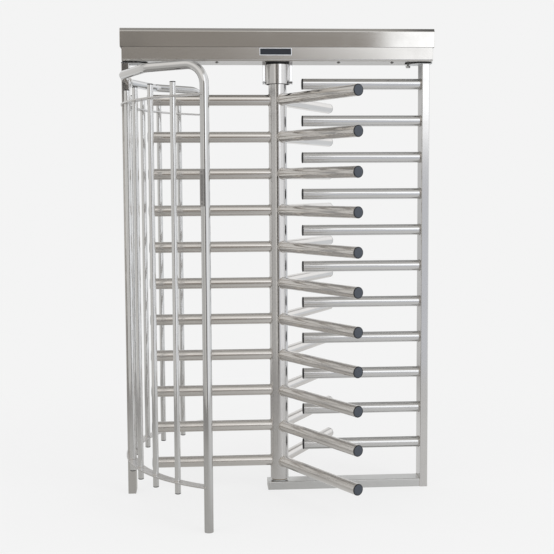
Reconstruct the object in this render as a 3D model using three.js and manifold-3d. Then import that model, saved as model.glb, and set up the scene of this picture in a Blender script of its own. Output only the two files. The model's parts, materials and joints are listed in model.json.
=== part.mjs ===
// Full height turnstile: a rotor with three wings of arms between a comb of bars and a curved cage.
// Millimetres, +Z up. The origin is on the rotor's axis at floor level.
// +X points to the comb and -Y is the front.
import * as THREE from "three";
import Module from "manifold-3d";
import { mergeVertices } from "three/addons/utils/BufferGeometryUtils.js";

const wasm = await Module();
wasm.setup();

// Clearances
const fit = 0.3;
const overrun = 20;

// Facets round a full circle
const armSides = 12;
const tubeSides = 12;
const columnSides = 18;
const turnedSides = 24;
const boltSides = 6;
const ringFacets = 20;
const camFacets = 36;
const bendStepAngle = 12;

// Rows of arms and bars
const rows = 11;
const rowPitch = 170;
const firstRowZ = 135;
const combRise = 74;

// Rotor
const wingAngles = [180, 300, 60];
const armRadius = 25.4;
const armWall = 2;
const armReach = 603;
const armCap = 5;
const boreStart = 22;
const drainWidth = 6;
const drainX = 32;
const columnRadius = 42.25;
const columnWall = 3;
const columnTopDrop = 40;

// Floor rail and posts
const railHeight = 39;
const railDepth = 88;
const railOverhang = 57;
const sheetWall = 3;
const postWidth = 36;
const postDepth = 92;
const rightPostInset = 13;
const leftPostOutset = 16;

// Comb bars
const barRadius = 25.4;
const barWall = 2;
const barCap = 5;
const combClear = 69.25;

// Header
const headerRise = 170;
const headerOverhang = 2;
const headerDepth = 180;
const trayBand = 63;
const coverHeight = 84;
const coverWall = 2;
const bevelHeight = 14;
const bevelDepth = 10;
const trayGap = 2;
const trayEndGap = 5;
const trayWall = 2;
const trayFloor = 3;
const trayLap = 18;
const trayHoleRadius = 30;

// Header hinge at the rear
const knuckleRadius = 4;
const knuckleLength = 25;
const knuckleGap = 0.5;
const hingeInset = 238;
const hingeLeaf = 1.5;

// Top plates that join the posts to the header
const plateThickness = 6;
const plateInset = 2;
const plateLength = 76;
const plateTongue = 42;
const plateTongueWidth = 28;
const boltHeadRadius = 10.5;
const boltHeadHeight = 8;
const boltShankRadius = 6;
const boltDrop = 14;

// Cage
const cageRadius = 700;
const legAngle = 60.9;
const legRadius = 19.05;
const hoopDrop = 72;
const hoopBend = 86;
const kinkAngle = 36.8;
const kinkRadius = 731;
const kinkBend = 90;
const hoopRun = 119;
const hoopWall = 2.5;
const ringWidth = 45;
const ringThickness = 6;
const lowerRingZ = 187;
const upperRingDrop = 198;
const picketRadius = 12.7;
const picketWall = 1.5;
const picketCap = 4;
const picketFootZ = 141;
const picketTopDrop = 135;
const picketsPerSide = 4;
const firstPicketAngle = 11.8;
const picketStepAngle = 12;

// Reader box on the front leg
const readerWidth = 16;
const readerDepth = 34;
const readerHeight = 151;
const readerFootZ = 1357;
const readerOffsetX = -22;
const readerOffsetY = -36;

// Collar under the header
const collarRadius = 57;
const collarWall = 3;
const collarDrop = 98;
const collarFlange = 13;
const collarGap = 5;

// Foot pivot
const footGap = 10;
const pivotFlangeRadius = 34;
const pivotFlangeHeight = 6;
const pivotRadius = 12;
const pivotHeight = 62;
const bushHeight = 34;

// Drive shaft and head mechanism
const shaftRadius = 17.5;
const shaftStand = 26.4;
const shaftPlugHeight = 34;
const headPlateLength = 460;
const headPlateWidth = 156;
const headPlateThickness = 8;
const bearingFlange = 96;
const bearingFlangeHeight = 12;
const bearingHubRadius = 38;
const bearingHeight = 28;
const gearTeeth = 30;
const pinionTeeth = 10;
const gearModule = 4;
const gearWidth = 12;
const gearGap = 6;
const camMeanRadius = 46;
const camRise = 5;
const camThickness = 12;
const camGap = 5;
const lockRadius = 30;
const lugReach = 51;
const lugWidth = 12;
const lockThickness = 12;

// Pawls and centring lever
const pinRadius = 5;
const pinShoulderRadius = 8;
const pinStand = 4;
const pawlTipAngle = 133;
const pawlPivotX = -100;
const pawlPivotY = 20;
const pawlEngagedRadius = 49;
const pawlSwingAngle = 14;
const pawlWidth = 6;
const pawlBossRadius = 9;
const pawlClear = 1.5;
const leverPivotX = 95;
const leverPivotY = 60;
const rollerAngle = 60;
const leverWidth = 14;
const leverBossRadius = 11;
const rollerRadius = 11;
const rollerClear = 1;

// Damper, solenoids and control box
const damperRadius = 24;
const damperFlangeRadius = 28;
const damperFlangeHeight = 5;
const damperStubRadius = 6;
const damperGap = 3;
const solenoidLength = 24;
const solenoidWidth = 30;
const solenoidRise = 12;
const plungerRadius = 5;
const plungerReach = 9;
const plungerClear = 3;
const controlLength = 210;
const controlWidth = 116;
const controlHeight = 52;
const controlInset = 93;

// Finishes, one for each kind of surface
function finish(color, roughness, metalness) {
  return () => new THREE.MeshStandardMaterial({ color, roughness, metalness });
}
const polished = finish(0xc9c8c4, 0.22, 1);
const brushed = finish(0xb4b3ae, 0.38, 1);
const sheet = finish(0xa8a6a0, 0.32, 1);
const zinc = finish(0x9c9fa3, 0.45, 0.9);
const bronze = finish(0xa9783c, 0.4, 0.9);
const plastic = finish(0x303234, 0.5, 0);

const turn = (degrees) => THREE.MathUtils.degToRad(degrees);
const group = new THREE.Group();

// A closed geometry as a solid for cutting and joining
function solid(geometry) {
  const bare = geometry.index ? geometry.toNonIndexed() : geometry.clone();
  bare.deleteAttribute("normal");
  bare.deleteAttribute("uv");
  const merged = mergeVertices(bare);
  const vertProperties = Float32Array.from(merged.attributes.position.array);
  const triVerts = Uint32Array.from(merged.index.array);
  return new wasm.Manifold(new wasm.Mesh({ numProp: 3, vertProperties, triVerts }));
}

// A solid's surface as a flat-shaded geometry
function surface(body) {
  const mesh = body.getMesh();
  const geometry = new THREE.BufferGeometry();
  const positions = Float32Array.from(mesh.vertProperties);
  geometry.setAttribute("position", new THREE.BufferAttribute(positions, mesh.numProp));
  geometry.setIndex(new THREE.BufferAttribute(Uint32Array.from(mesh.triVerts), 1));
  const flat = geometry.toNonIndexed();
  flat.computeVertexNormals();
  return flat;
}

function join(...bodies) {
  return bodies.reduce((all, body) => all.add(body));
}

// Adds one named piece to the model
function place(name, shape, makeMaterial, x = 0, y = 0, z = 0) {
  const geometry = shape.isBufferGeometry ? shape : surface(shape);
  const mesh = new THREE.Mesh(geometry, makeMaterial());
  mesh.name = name;
  mesh.position.set(x, y, z);
  group.add(mesh);
}

// A box between two corners
function block(x0, x1, y0, y1, z0, z1) {
  const geometry = new THREE.BoxGeometry(x1 - x0, y1 - y0, z1 - z0);
  geometry.translate((x0 + x1) / 2, (y0 + y1) / 2, (z0 + z1) / 2);
  return geometry;
}

// A round bar standing on z0
function disc(radius, z0, z1, sides = turnedSides, x = 0, y = 0) {
  const geometry = new THREE.CylinderGeometry(radius, radius, z1 - z0, sides);
  geometry.rotateX(Math.PI / 2);
  geometry.translate(x, y, (z0 + z1) / 2);
  return geometry;
}

// A round bar along +X from x0 to x1, at height zero
function spoke(radius, x0, x1) {
  const geometry = new THREE.CylinderGeometry(radius, radius, x1 - x0, armSides);
  geometry.rotateZ(-Math.PI / 2);
  geometry.translate((x0 + x1) / 2, 0, 0);
  return solid(geometry);
}

// A tube along +Z from zero, closed at its foot and open at its far end
function cappedTube(length, radius, wall, cap, sides) {
  const bore = radius - wall;
  const profile = [[0, 0], [radius, 0], [radius, length], [bore, length], [bore, cap], [0, cap]];
  const geometry = new THREE.LatheGeometry(profile.map(([r, z]) => new THREE.Vector2(r, z)), sides);
  geometry.rotateX(Math.PI / 2);
  return solid(geometry);
}

// An outline extruded along +Z
function slab(outline, z0, z1) {
  const geometry = new THREE.ExtrudeGeometry(outline, { depth: z1 - z0, bevelEnabled: false });
  geometry.translate(0, 0, z0);
  return geometry;
}

function polygon(points) {
  return new THREE.Shape(points.map(([x, y]) => new THREE.Vector2(x, y)));
}

// The same shape once along each of the three wings
function threeWings(shape) {
  return join(...wingAngles.map((angle) => shape.rotate(0, 0, angle)));
}

// Posts and header stand outside the cage, with the header's ends alike about the rotor
const leftPostX = -(cageRadius + leftPostOutset);
const headerLength = 2 * (headerOverhang - leftPostX);
const rightPostX = headerLength / 2 - rightPostInset - postWidth;

// Heights that follow the top row of arms
const headerFloorZ = firstRowZ + (rows - 1) * rowPitch + headerRise;
const coverFootZ = headerFloorZ + trayBand;
const headerTopZ = coverFootZ + coverHeight;
const columnTopZ = headerFloorZ - columnTopDrop;
const collarFootZ = headerFloorZ - collarDrop;
const hoopZ = headerFloorZ - hoopDrop;
const picketTopZ = headerFloorZ - picketTopDrop;
const upperRingZ = headerFloorZ - upperRingDrop;

// Heights of the layers of the mechanism
const trayFloorTopZ = headerFloorZ + trayFloor;
const headPlateZ = trayFloorTopZ + fit;
const deckZ = headPlateZ + headPlateThickness;
const bearingZ = deckZ + fit;
const gearZ = bearingZ + bearingHeight + gearGap;
const camZ = gearZ + gearWidth + camGap;
const lockZ = camZ + camThickness;
const lockTopZ = lockZ + lockThickness;

// Rotor: column, rows of arms, foot bush and drive shaft
const columnFootZ = railHeight + footGap;
const columnBore = columnRadius - columnWall;
const armBore = spoke(armRadius - armWall, boreStart, armReach - armCap);
const halfDrain = drainWidth / 2;
const drainFoot = -armRadius - overrun;
const drain = solid(block(drainX - halfDrain, drainX + halfDrain, -halfDrain, halfDrain, drainFoot, 0));
const armBars = threeWings(spoke(armRadius, 0, armReach));
const armRow = surface(armBars.subtract(threeWings(join(armBore, drain))));
const rowHoles = threeWings(spoke(armRadius + fit, 0, columnRadius + overrun));

let column = solid(disc(columnRadius, columnFootZ, columnTopZ, columnSides));
const columnCore = disc(columnBore, columnFootZ - overrun, columnTopZ + overrun, columnSides);
column = column.subtract(solid(columnCore));
for (let row = 0; row < rows; row += 1) {
  const z = firstRowZ + row * rowPitch;
  column = column.subtract(rowHoles.translate(0, 0, z));
  place(`arm_row_${String(row + 1).padStart(2, "0")}`, armRow, polished, 0, 0, z);
}
place("rotor_column", column, brushed);

const shaftPlugZ = columnTopZ - shaftPlugHeight;
const shaft = join(
  solid(disc(columnBore - fit, shaftPlugZ, columnTopZ, columnSides)),
  solid(disc(shaftRadius, shaftPlugZ, lockTopZ + shaftStand)),
);
place("drive_shaft", shaft, zinc);

// Floor rail, open towards the right post
const railBar = solid(block(
  -railOverhang, rightPostX - fit,
  -railDepth / 2, railDepth / 2,
  0, railHeight,
));
const railBore = solid(block(
  -railOverhang + sheetWall, rightPostX + overrun,
  -railDepth / 2 + sheetWall, railDepth / 2 - sheetWall,
  sheetWall, railHeight - sheetWall,
));
place("base_rail", railBar.subtract(railBore), brushed);

// Foot pivot on the rail and the bush in the column's foot
const pivotFootZ = railHeight + fit;
const pivotFlangeZ = pivotFootZ + pivotFlangeHeight;
const pivot = join(
  solid(disc(pivotFlangeRadius, pivotFootZ, pivotFlangeZ)),
  solid(disc(pivotRadius, pivotFootZ, pivotFootZ + pivotHeight)),
);
place("pivot_pin", pivot, zinc);
const bushFootZ = pivotFlangeZ + fit;
const bush = solid(disc(columnBore - fit, bushFootZ, bushFootZ + bushHeight, columnSides))
  .subtract(solid(disc(pivotRadius + fit, bushFootZ - overrun, bushFootZ + bushHeight + overrun)));
place("foot_bush", bush, bronze);

// Posts, closed at the foot and open under their top plates
const postTopZ = headerFloorZ - plateThickness - 2 * fit;
function post(name, x0) {
  const bar = solid(block(x0, x0 + postWidth, -postDepth / 2, postDepth / 2, 0, postTopZ));
  const bore = solid(block(
    x0 + sheetWall, x0 + postWidth - sheetWall,
    -postDepth / 2 + sheetWall, postDepth / 2 - sheetWall,
    sheetWall, postTopZ + overrun,
  ));
  place(name, bar.subtract(bore), brushed);
}
post("right_post", rightPostX);
post("left_post", leftPostX);

// Top plate with a tapered tongue and a hanging bolt, drawn for the right end
function topPlate(name, side) {
  const outer = side * (headerLength / 2 - plateInset);
  const shoulder = outer - side * plateLength;
  const tip = shoulder - side * plateTongue;
  const half = postDepth / 2;
  const tongue = plateTongueWidth / 2;
  const upper = [[outer, half], [shoulder, half], [tip, tongue]];
  const lower = [[tip, -tongue], [shoulder, -half], [outer, -half]];
  const outline = polygon([...upper, ...lower]);
  const plateZ = postTopZ + fit;
  const boltX = tip + side * tongue;
  const boltZ = plateZ - boltDrop;
  const plate = join(
    solid(slab(outline, plateZ, plateZ + plateThickness)),
    solid(disc(boltShankRadius, boltZ, plateZ + fit, tubeSides, boltX)),
    solid(disc(boltHeadRadius, boltZ, boltZ + boltHeadHeight, boltSides, boltX)),
  );
  place(name, plate, zinc);
}
topPlate("right_top_plate", 1);
topPlate("left_top_plate", -1);

// Comb bars, closed at the free end and open against the post
const barEndX = columnRadius + combClear;
const barLength = rightPostX - fit - barEndX;
const combBar = surface(cappedTube(barLength, barRadius, barWall, barCap, tubeSides).rotate(0, 90, 0));
for (let row = 0; row < rows; row += 1) {
  const z = firstRowZ + combRise + row * rowPitch;
  place(`comb_bar_${String(row + 1).padStart(2, "0")}`, combBar, polished, barEndX, 0, z);
}

// A point of the cage, turned from -X towards the front
function cagePoint(radius, degrees, z) {
  return new THREE.Vector3(-radius * Math.cos(turn(degrees)), -radius * Math.sin(turn(degrees)), z);
}

// A tube's centre line through corner points with rounded corners, with stations only where it bends
class BentRoute extends THREE.Curve {
  constructor(corners, bends, stepDegrees) {
    super();
    this.stations = [corners[0].clone()];
    for (let i = 1; i < corners.length - 1; i += 1) {
      const before = corners[i - 1].clone().sub(corners[i]).normalize();
      const after = corners[i + 1].clone().sub(corners[i]).normalize();
      const inside = before.angleTo(after);
      const setback = bends[i - 1] / Math.tan(inside / 2);
      const start = corners[i].clone().addScaledVector(before, setback);
      const end = corners[i].clone().addScaledVector(after, setback);
      const centre = corners[i].clone()
        .addScaledVector(before.clone().add(after).normalize(), bends[i - 1] / Math.sin(inside / 2));
      const sweep = Math.PI - inside;
      const steps = Math.max(2, Math.round(THREE.MathUtils.radToDeg(sweep) / stepDegrees));
      const axis = start.clone().sub(centre).cross(end.clone().sub(centre)).normalize();
      for (let k = 0; k <= steps; k += 1) {
        const spokeVector = start.clone().sub(centre).applyAxisAngle(axis, sweep * k / steps);
        this.stations.push(spokeVector.add(centre));
      }
    }
    this.stations.push(corners[corners.length - 1]);
  }

  getPoint(t) {
    const last = this.stations.length - 1;
    const index = Math.min(Math.floor(t * last), last - 1);
    return this.stations[index].clone().lerp(this.stations[index + 1], t * last - index);
  }

  getPointAt(t) {
    return this.getPoint(t);
  }

  getTangentAt(t) {
    const last = this.stations.length - 1;
    const index = Math.round(t * last);
    const before = this.stations[Math.max(index - 1, 0)];
    const here = this.stations[index];
    const after = this.stations[Math.min(index + 1, last)];
    const incoming = here.clone().sub(before).normalize();
    return after.clone().sub(here).normalize().add(incoming).normalize();
  }
}

function bentTube(route, radius) {
  const ring = new THREE.Shape();
  ring.absarc(0, 0, radius, 0, 2 * Math.PI);
  const steps = route.stations.length - 1;
  const options = { steps, extrudePath: route, curveSegments: tubeSides / 2 };
  return solid(new THREE.ExtrudeGeometry(ring, options));
}

// Hoops: one leg to the floor, a bend, two kinks over the cage and a butt joint on the left post
const leftPostMidX = leftPostX + postWidth / 2;
function hoop(name, side) {
  const corners = [
    cagePoint(cageRadius, legAngle, 0),
    cagePoint(cageRadius, legAngle, hoopZ),
    cagePoint(kinkRadius, kinkAngle, hoopZ),
    new THREE.Vector3(leftPostMidX, -postDepth / 2 - hoopRun, hoopZ),
    new THREE.Vector3(leftPostMidX, 0, hoopZ),
  ];
  const mirrored = corners.map((corner) => new THREE.Vector3(corner.x, corner.y * side, corner.z));
  const bends = [hoopBend, kinkBend, kinkBend];
  const route = new BentRoute(mirrored, bends, bendStepAngle);
  const bore = new BentRoute(mirrored, bends, bendStepAngle);
  bore.stations[0].setZ(hoopWall);
  const postZone = solid(block(
    leftPostX - overrun - legRadius, leftPostX + postWidth + overrun + legRadius,
    -postDepth / 2 - fit, postDepth / 2 + fit,
    hoopZ - legRadius - overrun, hoopZ + legRadius + overrun,
  ));
  const outer = bentTube(route, legRadius);
  const inner = bentTube(bore, legRadius - hoopWall);
  place(name, outer.subtract(inner).subtract(postZone), polished);
}
hoop("front_hoop", 1);
hoop("rear_hoop", -1);

// Rings: flat bar with holes for the upright tubes, notched round the left post, butted on the legs
const picketAngles = [];
for (let i = 0; i < picketsPerSide; i += 1) {
  picketAngles.push(firstPicketAngle + i * picketStepAngle);
}
function ring(name, z) {
  const inner = cageRadius - ringWidth / 2;
  const outer = cageRadius + ringWidth / 2;
  const outline = new THREE.Shape();
  outline.absarc(0, 0, outer, Math.PI - turn(legAngle), Math.PI + turn(legAngle), false);
  outline.absarc(0, 0, inner, Math.PI + turn(legAngle), Math.PI - turn(legAngle), true);
  const options = { depth: ringThickness, bevelEnabled: false, curveSegments: ringFacets };
  let body = solid(new THREE.ExtrudeGeometry(outline, options));
  const below = -overrun;
  const above = ringThickness + overrun;
  for (const side of [1, -1]) {
    for (const degrees of picketAngles) {
      const at = cagePoint(cageRadius, degrees * side, 0);
      body = body.subtract(solid(disc(picketRadius + fit, below, above, tubeSides, at.x, at.y)));
    }
    const leg = cagePoint(cageRadius, legAngle * side, 0);
    body = body.subtract(solid(disc(legRadius + fit, below, above, turnedSides, leg.x, leg.y)));
  }
  const notchEnd = leftPostX + postWidth + ringWidth;
  const half = postDepth / 2 + fit;
  body = body.subtract(solid(block(leftPostX - fit, notchEnd, -half, half, below, above)));
  place(name, body, brushed, 0, 0, z);
}
ring("lower_ring", lowerRingZ);
ring("upper_ring", upperRingZ);

// Upright cage tubes, numbered from the front leg round to the rear leg
const picketLength = picketTopZ - picketFootZ;
const picket = surface(cappedTube(picketLength, picketRadius, picketWall, picketCap, tubeSides));
const allAngles = [...picketAngles].reverse().concat(picketAngles.map((degrees) => -degrees));
allAngles.forEach((degrees, index) => {
  const at = cagePoint(cageRadius, degrees, picketFootZ);
  place(`picket_${String(index + 1).padStart(2, "0")}`, picket, polished, at.x, at.y, at.z);
});

// Reader box that hugs the front leg
const frontLeg = cagePoint(cageRadius, legAngle, 0);
const readerX = frontLeg.x + readerOffsetX;
const readerFrontY = frontLeg.y + readerOffsetY;
const readerTopZ = readerFootZ + readerHeight;
const readerBox = solid(block(
  readerX, readerX + readerWidth,
  readerFrontY, readerFrontY + readerDepth,
  readerFootZ, readerTopZ,
));
const legCutter = disc(
  legRadius + fit, readerFootZ - overrun, readerTopZ + overrun, turnedSides, frontLeg.x, frontLeg.y,
);
place("reader_box", readerBox.subtract(solid(legCutter)), plastic);

// Header tray with the rear hinge's fixed knuckles
const trayX = headerLength / 2 - coverWall - trayEndGap;
const trayY = headerDepth / 2 - coverWall - trayGap;
const trayTopZ = coverFootZ + trayLap;
const hingeY = headerDepth / 2 + knuckleRadius + knuckleGap;
const hingeZ = coverFootZ - knuckleRadius;
const hingeOffsetX = headerLength / 2 - hingeInset;
function knuckle(x0, length) {
  const geometry = new THREE.CylinderGeometry(knuckleRadius, knuckleRadius, length, tubeSides);
  geometry.rotateZ(Math.PI / 2);
  geometry.translate(x0 + length / 2, hingeY, hingeZ);
  return solid(geometry);
}
let tray = solid(block(-trayX, trayX, -trayY, trayY, headerFloorZ, trayTopZ));
tray = tray.subtract(solid(block(
  -trayX + trayWall, trayX - trayWall,
  -trayY + trayWall, trayY - trayWall,
  trayFloorTopZ, trayTopZ + overrun,
)));
tray = tray.subtract(solid(disc(trayHoleRadius, headerFloorZ - overrun, trayFloorTopZ + overrun)));

// Header cover with bevelled long edges
function coverSection(inset, footZ) {
  const y = headerDepth / 2 - inset;
  const top = headerTopZ - inset;
  const bevelZ = headerTopZ - bevelHeight;
  const bevelY = headerDepth / 2 - bevelDepth - inset;
  return polygon([[-y, footZ], [y, footZ], [y, bevelZ], [bevelY, top], [-bevelY, top], [-y, bevelZ]]);
}
function alongX(outline, halfLength) {
  const geometry = slab(outline, -halfLength, halfLength);
  geometry.rotateX(Math.PI / 2);
  geometry.rotateZ(Math.PI / 2);
  return solid(geometry);
}
const coverInside = alongX(coverSection(coverWall, coverFootZ - overrun), headerLength / 2 - coverWall);
let cover = alongX(coverSection(0, coverFootZ), headerLength / 2).subtract(coverInside);

for (const side of [-1, 1]) {
  const middle = side * hingeOffsetX;
  const leafBack = hingeY;
  const coverLeaf = block(
    middle - knuckleLength / 2, middle + knuckleLength / 2,
    headerDepth / 2 - coverWall, leafBack,
    coverFootZ, coverFootZ + hingeLeaf,
  );
  const riser = block(
    middle - knuckleLength / 2, middle + knuckleLength / 2,
    leafBack - hingeLeaf, leafBack,
    hingeZ, coverFootZ + hingeLeaf,
  );
  const coverKnuckle = knuckle(middle - knuckleLength / 2, knuckleLength);
  cover = join(cover, solid(coverLeaf), solid(riser), coverKnuckle);
  for (const end of [-1, 1]) {
    const inner = middle + end * (knuckleLength / 2 + knuckleGap);
    const x0 = Math.min(inner, inner + end * knuckleLength);
    const leaf = block(
      x0, x0 + knuckleLength,
      trayY - trayWall, hingeY,
      hingeZ - knuckleRadius, hingeZ - knuckleRadius + hingeLeaf,
    );
    tray = join(tray, solid(leaf), knuckle(x0, knuckleLength));
  }
}
place("header_tray", tray, sheet);
place("header_cover", cover, sheet);

// Collar halves with side flanges
const collarTopZ = headerFloorZ - collarGap;
const collarReach = collarRadius + collarFlange;
const collarBore = solid(disc(
  collarRadius - collarWall, collarFootZ - overrun, headerFloorZ + overrun, columnSides,
));
const collarShell = join(
  solid(disc(collarRadius, collarFootZ, collarTopZ, columnSides)),
  solid(block(-collarReach, collarReach, -collarWall, collarWall, collarFootZ, headerFloorZ - fit)),
).subtract(collarBore);
const rearZone = solid(block(
  -collarReach - overrun, collarReach + overrun,
  fit / 2, collarReach,
  collarFootZ - overrun, headerFloorZ + overrun,
));
const collarRear = collarShell.intersect(rearZone);
place("collar_front", collarRear.mirror([0, 1, 0]), brushed);
place("collar_rear", collarRear, brushed);

// The exit pawl reaches from its pivot to a point just past a lug, and rests swung clear of the lugs
const pawlTipX = pawlEngagedRadius * Math.cos(turn(pawlTipAngle));
const pawlTipY = pawlEngagedRadius * Math.sin(turn(pawlTipAngle));
const pawlLength = Math.hypot(pawlTipX - pawlPivotX, pawlTipY - pawlPivotY);
const pawlRestAngle = Math.atan2(pawlTipY - pawlPivotY, pawlTipX - pawlPivotX) + turn(pawlSwingAngle);
const rollerOrbit = camMeanRadius + camRise + rollerRadius + rollerClear;
const rollerX = rollerOrbit * Math.cos(turn(rollerAngle));
const rollerY = rollerOrbit * Math.sin(turn(rollerAngle));

// A pin with a shoulder that carries a lever from z0 to z1
function shoulderPin(x, y, z0, z1) {
  return join(
    solid(disc(pinShoulderRadius, deckZ - fit, z0 - fit, tubeSides, x, y)),
    solid(disc(pinRadius, deckZ - fit, z1 + pinStand, tubeSides, x, y)),
  );
}

// Base plate with the shoulder pins
const plateHalfX = headPlateLength / 2;
const plateHalfY = headPlateWidth / 2;
let headPlate = solid(block(-plateHalfX, plateHalfX, -plateHalfY, plateHalfY, headPlateZ, deckZ));
headPlate = headPlate.subtract(solid(disc(trayHoleRadius, headPlateZ - overrun, deckZ + overrun)));
headPlate = join(
  headPlate,
  shoulderPin(pawlPivotX, pawlPivotY, lockZ, lockTopZ),
  shoulderPin(pawlPivotX, -pawlPivotY, lockZ, lockTopZ),
  shoulderPin(leverPivotX, leverPivotY, camZ, camZ + camThickness),
);
place("head_plate", headPlate, zinc);

// Flanged bearing
const flangeHalf = bearingFlange / 2;
const bearingFlangeZ = bearingZ + bearingFlangeHeight;
const bearing = join(
  solid(block(-flangeHalf, flangeHalf, -flangeHalf, flangeHalf, bearingZ, bearingFlangeZ)),
  solid(disc(bearingHubRadius, bearingZ, bearingZ + bearingHeight)),
).subtract(solid(disc(shaftRadius + fit, bearingZ - overrun, bearingZ + bearingHeight + overrun)));
place("top_bearing", bearing, zinc);

// A spur gear's outline with straight-sided teeth, starting with a gap or a tooth at angle zero
function gearOutline(teeth, phase) {
  const rootShare = 0.3;
  const tipShare = 0.13;
  const addendumShare = 0.75;
  const pitchRadius = teeth * gearModule / 2;
  const root = pitchRadius - gearModule;
  const tip = pitchRadius + gearModule * addendumShare;
  const pitchAngle = 2 * Math.PI / teeth;
  const points = [];
  for (let i = 0; i < teeth; i += 1) {
    const middle = (i + phase) * pitchAngle;
    const corners = [[root, -rootShare], [tip, -tipShare], [tip, tipShare], [root, rootShare]];
    for (const [radius, share] of corners) {
      const angle = middle + share * pitchAngle;
      points.push([radius * Math.cos(angle), radius * Math.sin(angle)]);
    }
  }
  return polygon(points);
}
const gearTopZ = gearZ + gearWidth;
const shaftBore = solid(disc(shaftRadius + fit, gearZ - overrun, lockTopZ + overrun));
const gear = solid(slab(gearOutline(gearTeeth, 0), gearZ, gearTopZ)).subtract(shaftBore);
place("shaft_gear", gear, zinc);

// Damper body on the base plate and its pinion, in mesh with the gear on +X
const damperX = (gearTeeth + pinionTeeth) * gearModule / 2;
const damperTopZ = gearZ - damperGap;
const stubZ = (bearingZ + damperTopZ) / 2;
const damper = join(
  solid(disc(damperFlangeRadius, bearingZ, bearingZ + damperFlangeHeight)),
  solid(disc(damperRadius, bearingZ, damperTopZ)),
).subtract(solid(disc(damperStubRadius + fit, stubZ - fit, damperTopZ + overrun, tubeSides)));
place("damper_body", damper, plastic, damperX);
const pinion = join(
  solid(slab(gearOutline(pinionTeeth, 1 / 2), gearZ, gearTopZ)),
  solid(disc(damperStubRadius, stubZ, gearTopZ + pinStand, tubeSides)),
);
place("damper_pinion", pinion, zinc, damperX);

// Index cam: a rounded three-lobed plate with a star of three lock lugs on top
const lobeAngles = [0, 120, 240];
const camPoints = [];
for (let i = 0; i < camFacets; i += 1) {
  const angle = 2 * Math.PI * i / camFacets;
  const radius = camMeanRadius + camRise * Math.cos(lobeAngles.length * angle);
  camPoints.push([radius * Math.cos(angle), radius * Math.sin(angle)]);
}
let cam = join(solid(slab(polygon(camPoints), camZ, lockZ)), solid(disc(lockRadius, camZ, lockTopZ)));
for (const angle of lobeAngles) {
  const lug = block(0, lugReach, -lugWidth / 2, lugWidth / 2, lockZ - fit, lockTopZ);
  lug.rotateZ(turn(angle));
  cam = cam.add(solid(lug));
}
place("index_cam", cam.subtract(shaftBore), zinc);

// A flat link from a pivot towards an angle, with a boss and a pin hole
function link(length, width, boss, angle, z0, z1) {
  const bar = block(0, length, -width / 2, width / 2, z0, z1);
  bar.rotateZ(angle);
  const body = join(solid(bar), solid(disc(boss, z0, z1)));
  return body.subtract(solid(disc(pinRadius + fit, z0 - overrun, z1 + overrun, tubeSides)));
}
const pawlTopZ = lockTopZ - pawlClear;
const pawl = link(pawlLength, pawlWidth, pawlBossRadius, pawlRestAngle, lockZ + pawlClear, pawlTopZ);
place("entry_pawl", pawl.mirror([0, 1, 0]), zinc, pawlPivotX, -pawlPivotY);
place("exit_pawl", pawl, zinc, pawlPivotX, pawlPivotY);

// Centring lever with its roller
const leverAngle = Math.atan2(rollerY - leverPivotY, rollerX - leverPivotX);
const leverLength = Math.hypot(rollerX - leverPivotX, rollerY - leverPivotY);
const leverTopZ = lockZ - pawlClear;
const lever = join(
  link(leverLength, leverWidth, leverBossRadius, leverAngle, camZ, leverTopZ),
  solid(disc(rollerRadius, camZ, leverTopZ, turnedSides, rollerX - leverPivotX, rollerY - leverPivotY)),
);
place("centring_lever", lever, zinc, leverPivotX, leverPivotY);

// Solenoid that pushes a pawl in from the side, drawn for the exit pawl
const plungerX = pawlPivotX + Math.cos(pawlRestAngle) * pawlLength / 2;
const pawlMiddleY = pawlPivotY + Math.sin(pawlRestAngle) * pawlLength / 2;
const plungerTipY = pawlMiddleY + pawlWidth / 2 + plungerClear;
const plungerZ = (lockZ + pawlTopZ) / 2;
const solenoidY = plungerTipY + plungerReach;
const plungerLength = plungerReach + solenoidLength / 2;
const plunger = new THREE.CylinderGeometry(plungerRadius, plungerRadius, plungerLength, tubeSides);
plunger.translate(plungerX, plungerTipY + plungerLength / 2, 0);
const solenoid = join(
  solid(plunger).translate(0, 0, plungerZ),
  solid(block(
    plungerX - solenoidWidth / 2, plungerX + solenoidWidth / 2,
    solenoidY, solenoidY + solenoidLength,
    deckZ + fit, plungerZ + solenoidRise,
  )),
);
place("entry_solenoid", solenoid.mirror([0, 1, 0]), zinc);
place("exit_solenoid", solenoid, zinc);

// Control box on the tray floor
const controlHalfX = controlLength / 2;
const controlX = controlInset + controlHalfX - headerLength / 2;
const controlHalfY = controlWidth / 2;
const controlZ = trayFloorTopZ + fit;
place("control_box", block(
  controlX - controlHalfX, controlX + controlHalfX,
  -controlHalfY, controlHalfY,
  controlZ, controlZ + controlHeight,
), plastic);

export default group;
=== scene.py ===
"""Full height turnstile: its finished surfaces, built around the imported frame.

Metres, +Z up. The rotor's axis is at the origin, the front is towards -Y and the comb towards +X.
"""

import json
import logging
import math
from collections.abc import Iterable, Sequence
from dataclasses import dataclass, field
from enum import Enum

import bmesh
import bpy
from mathutils import Matrix, Vector


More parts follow.
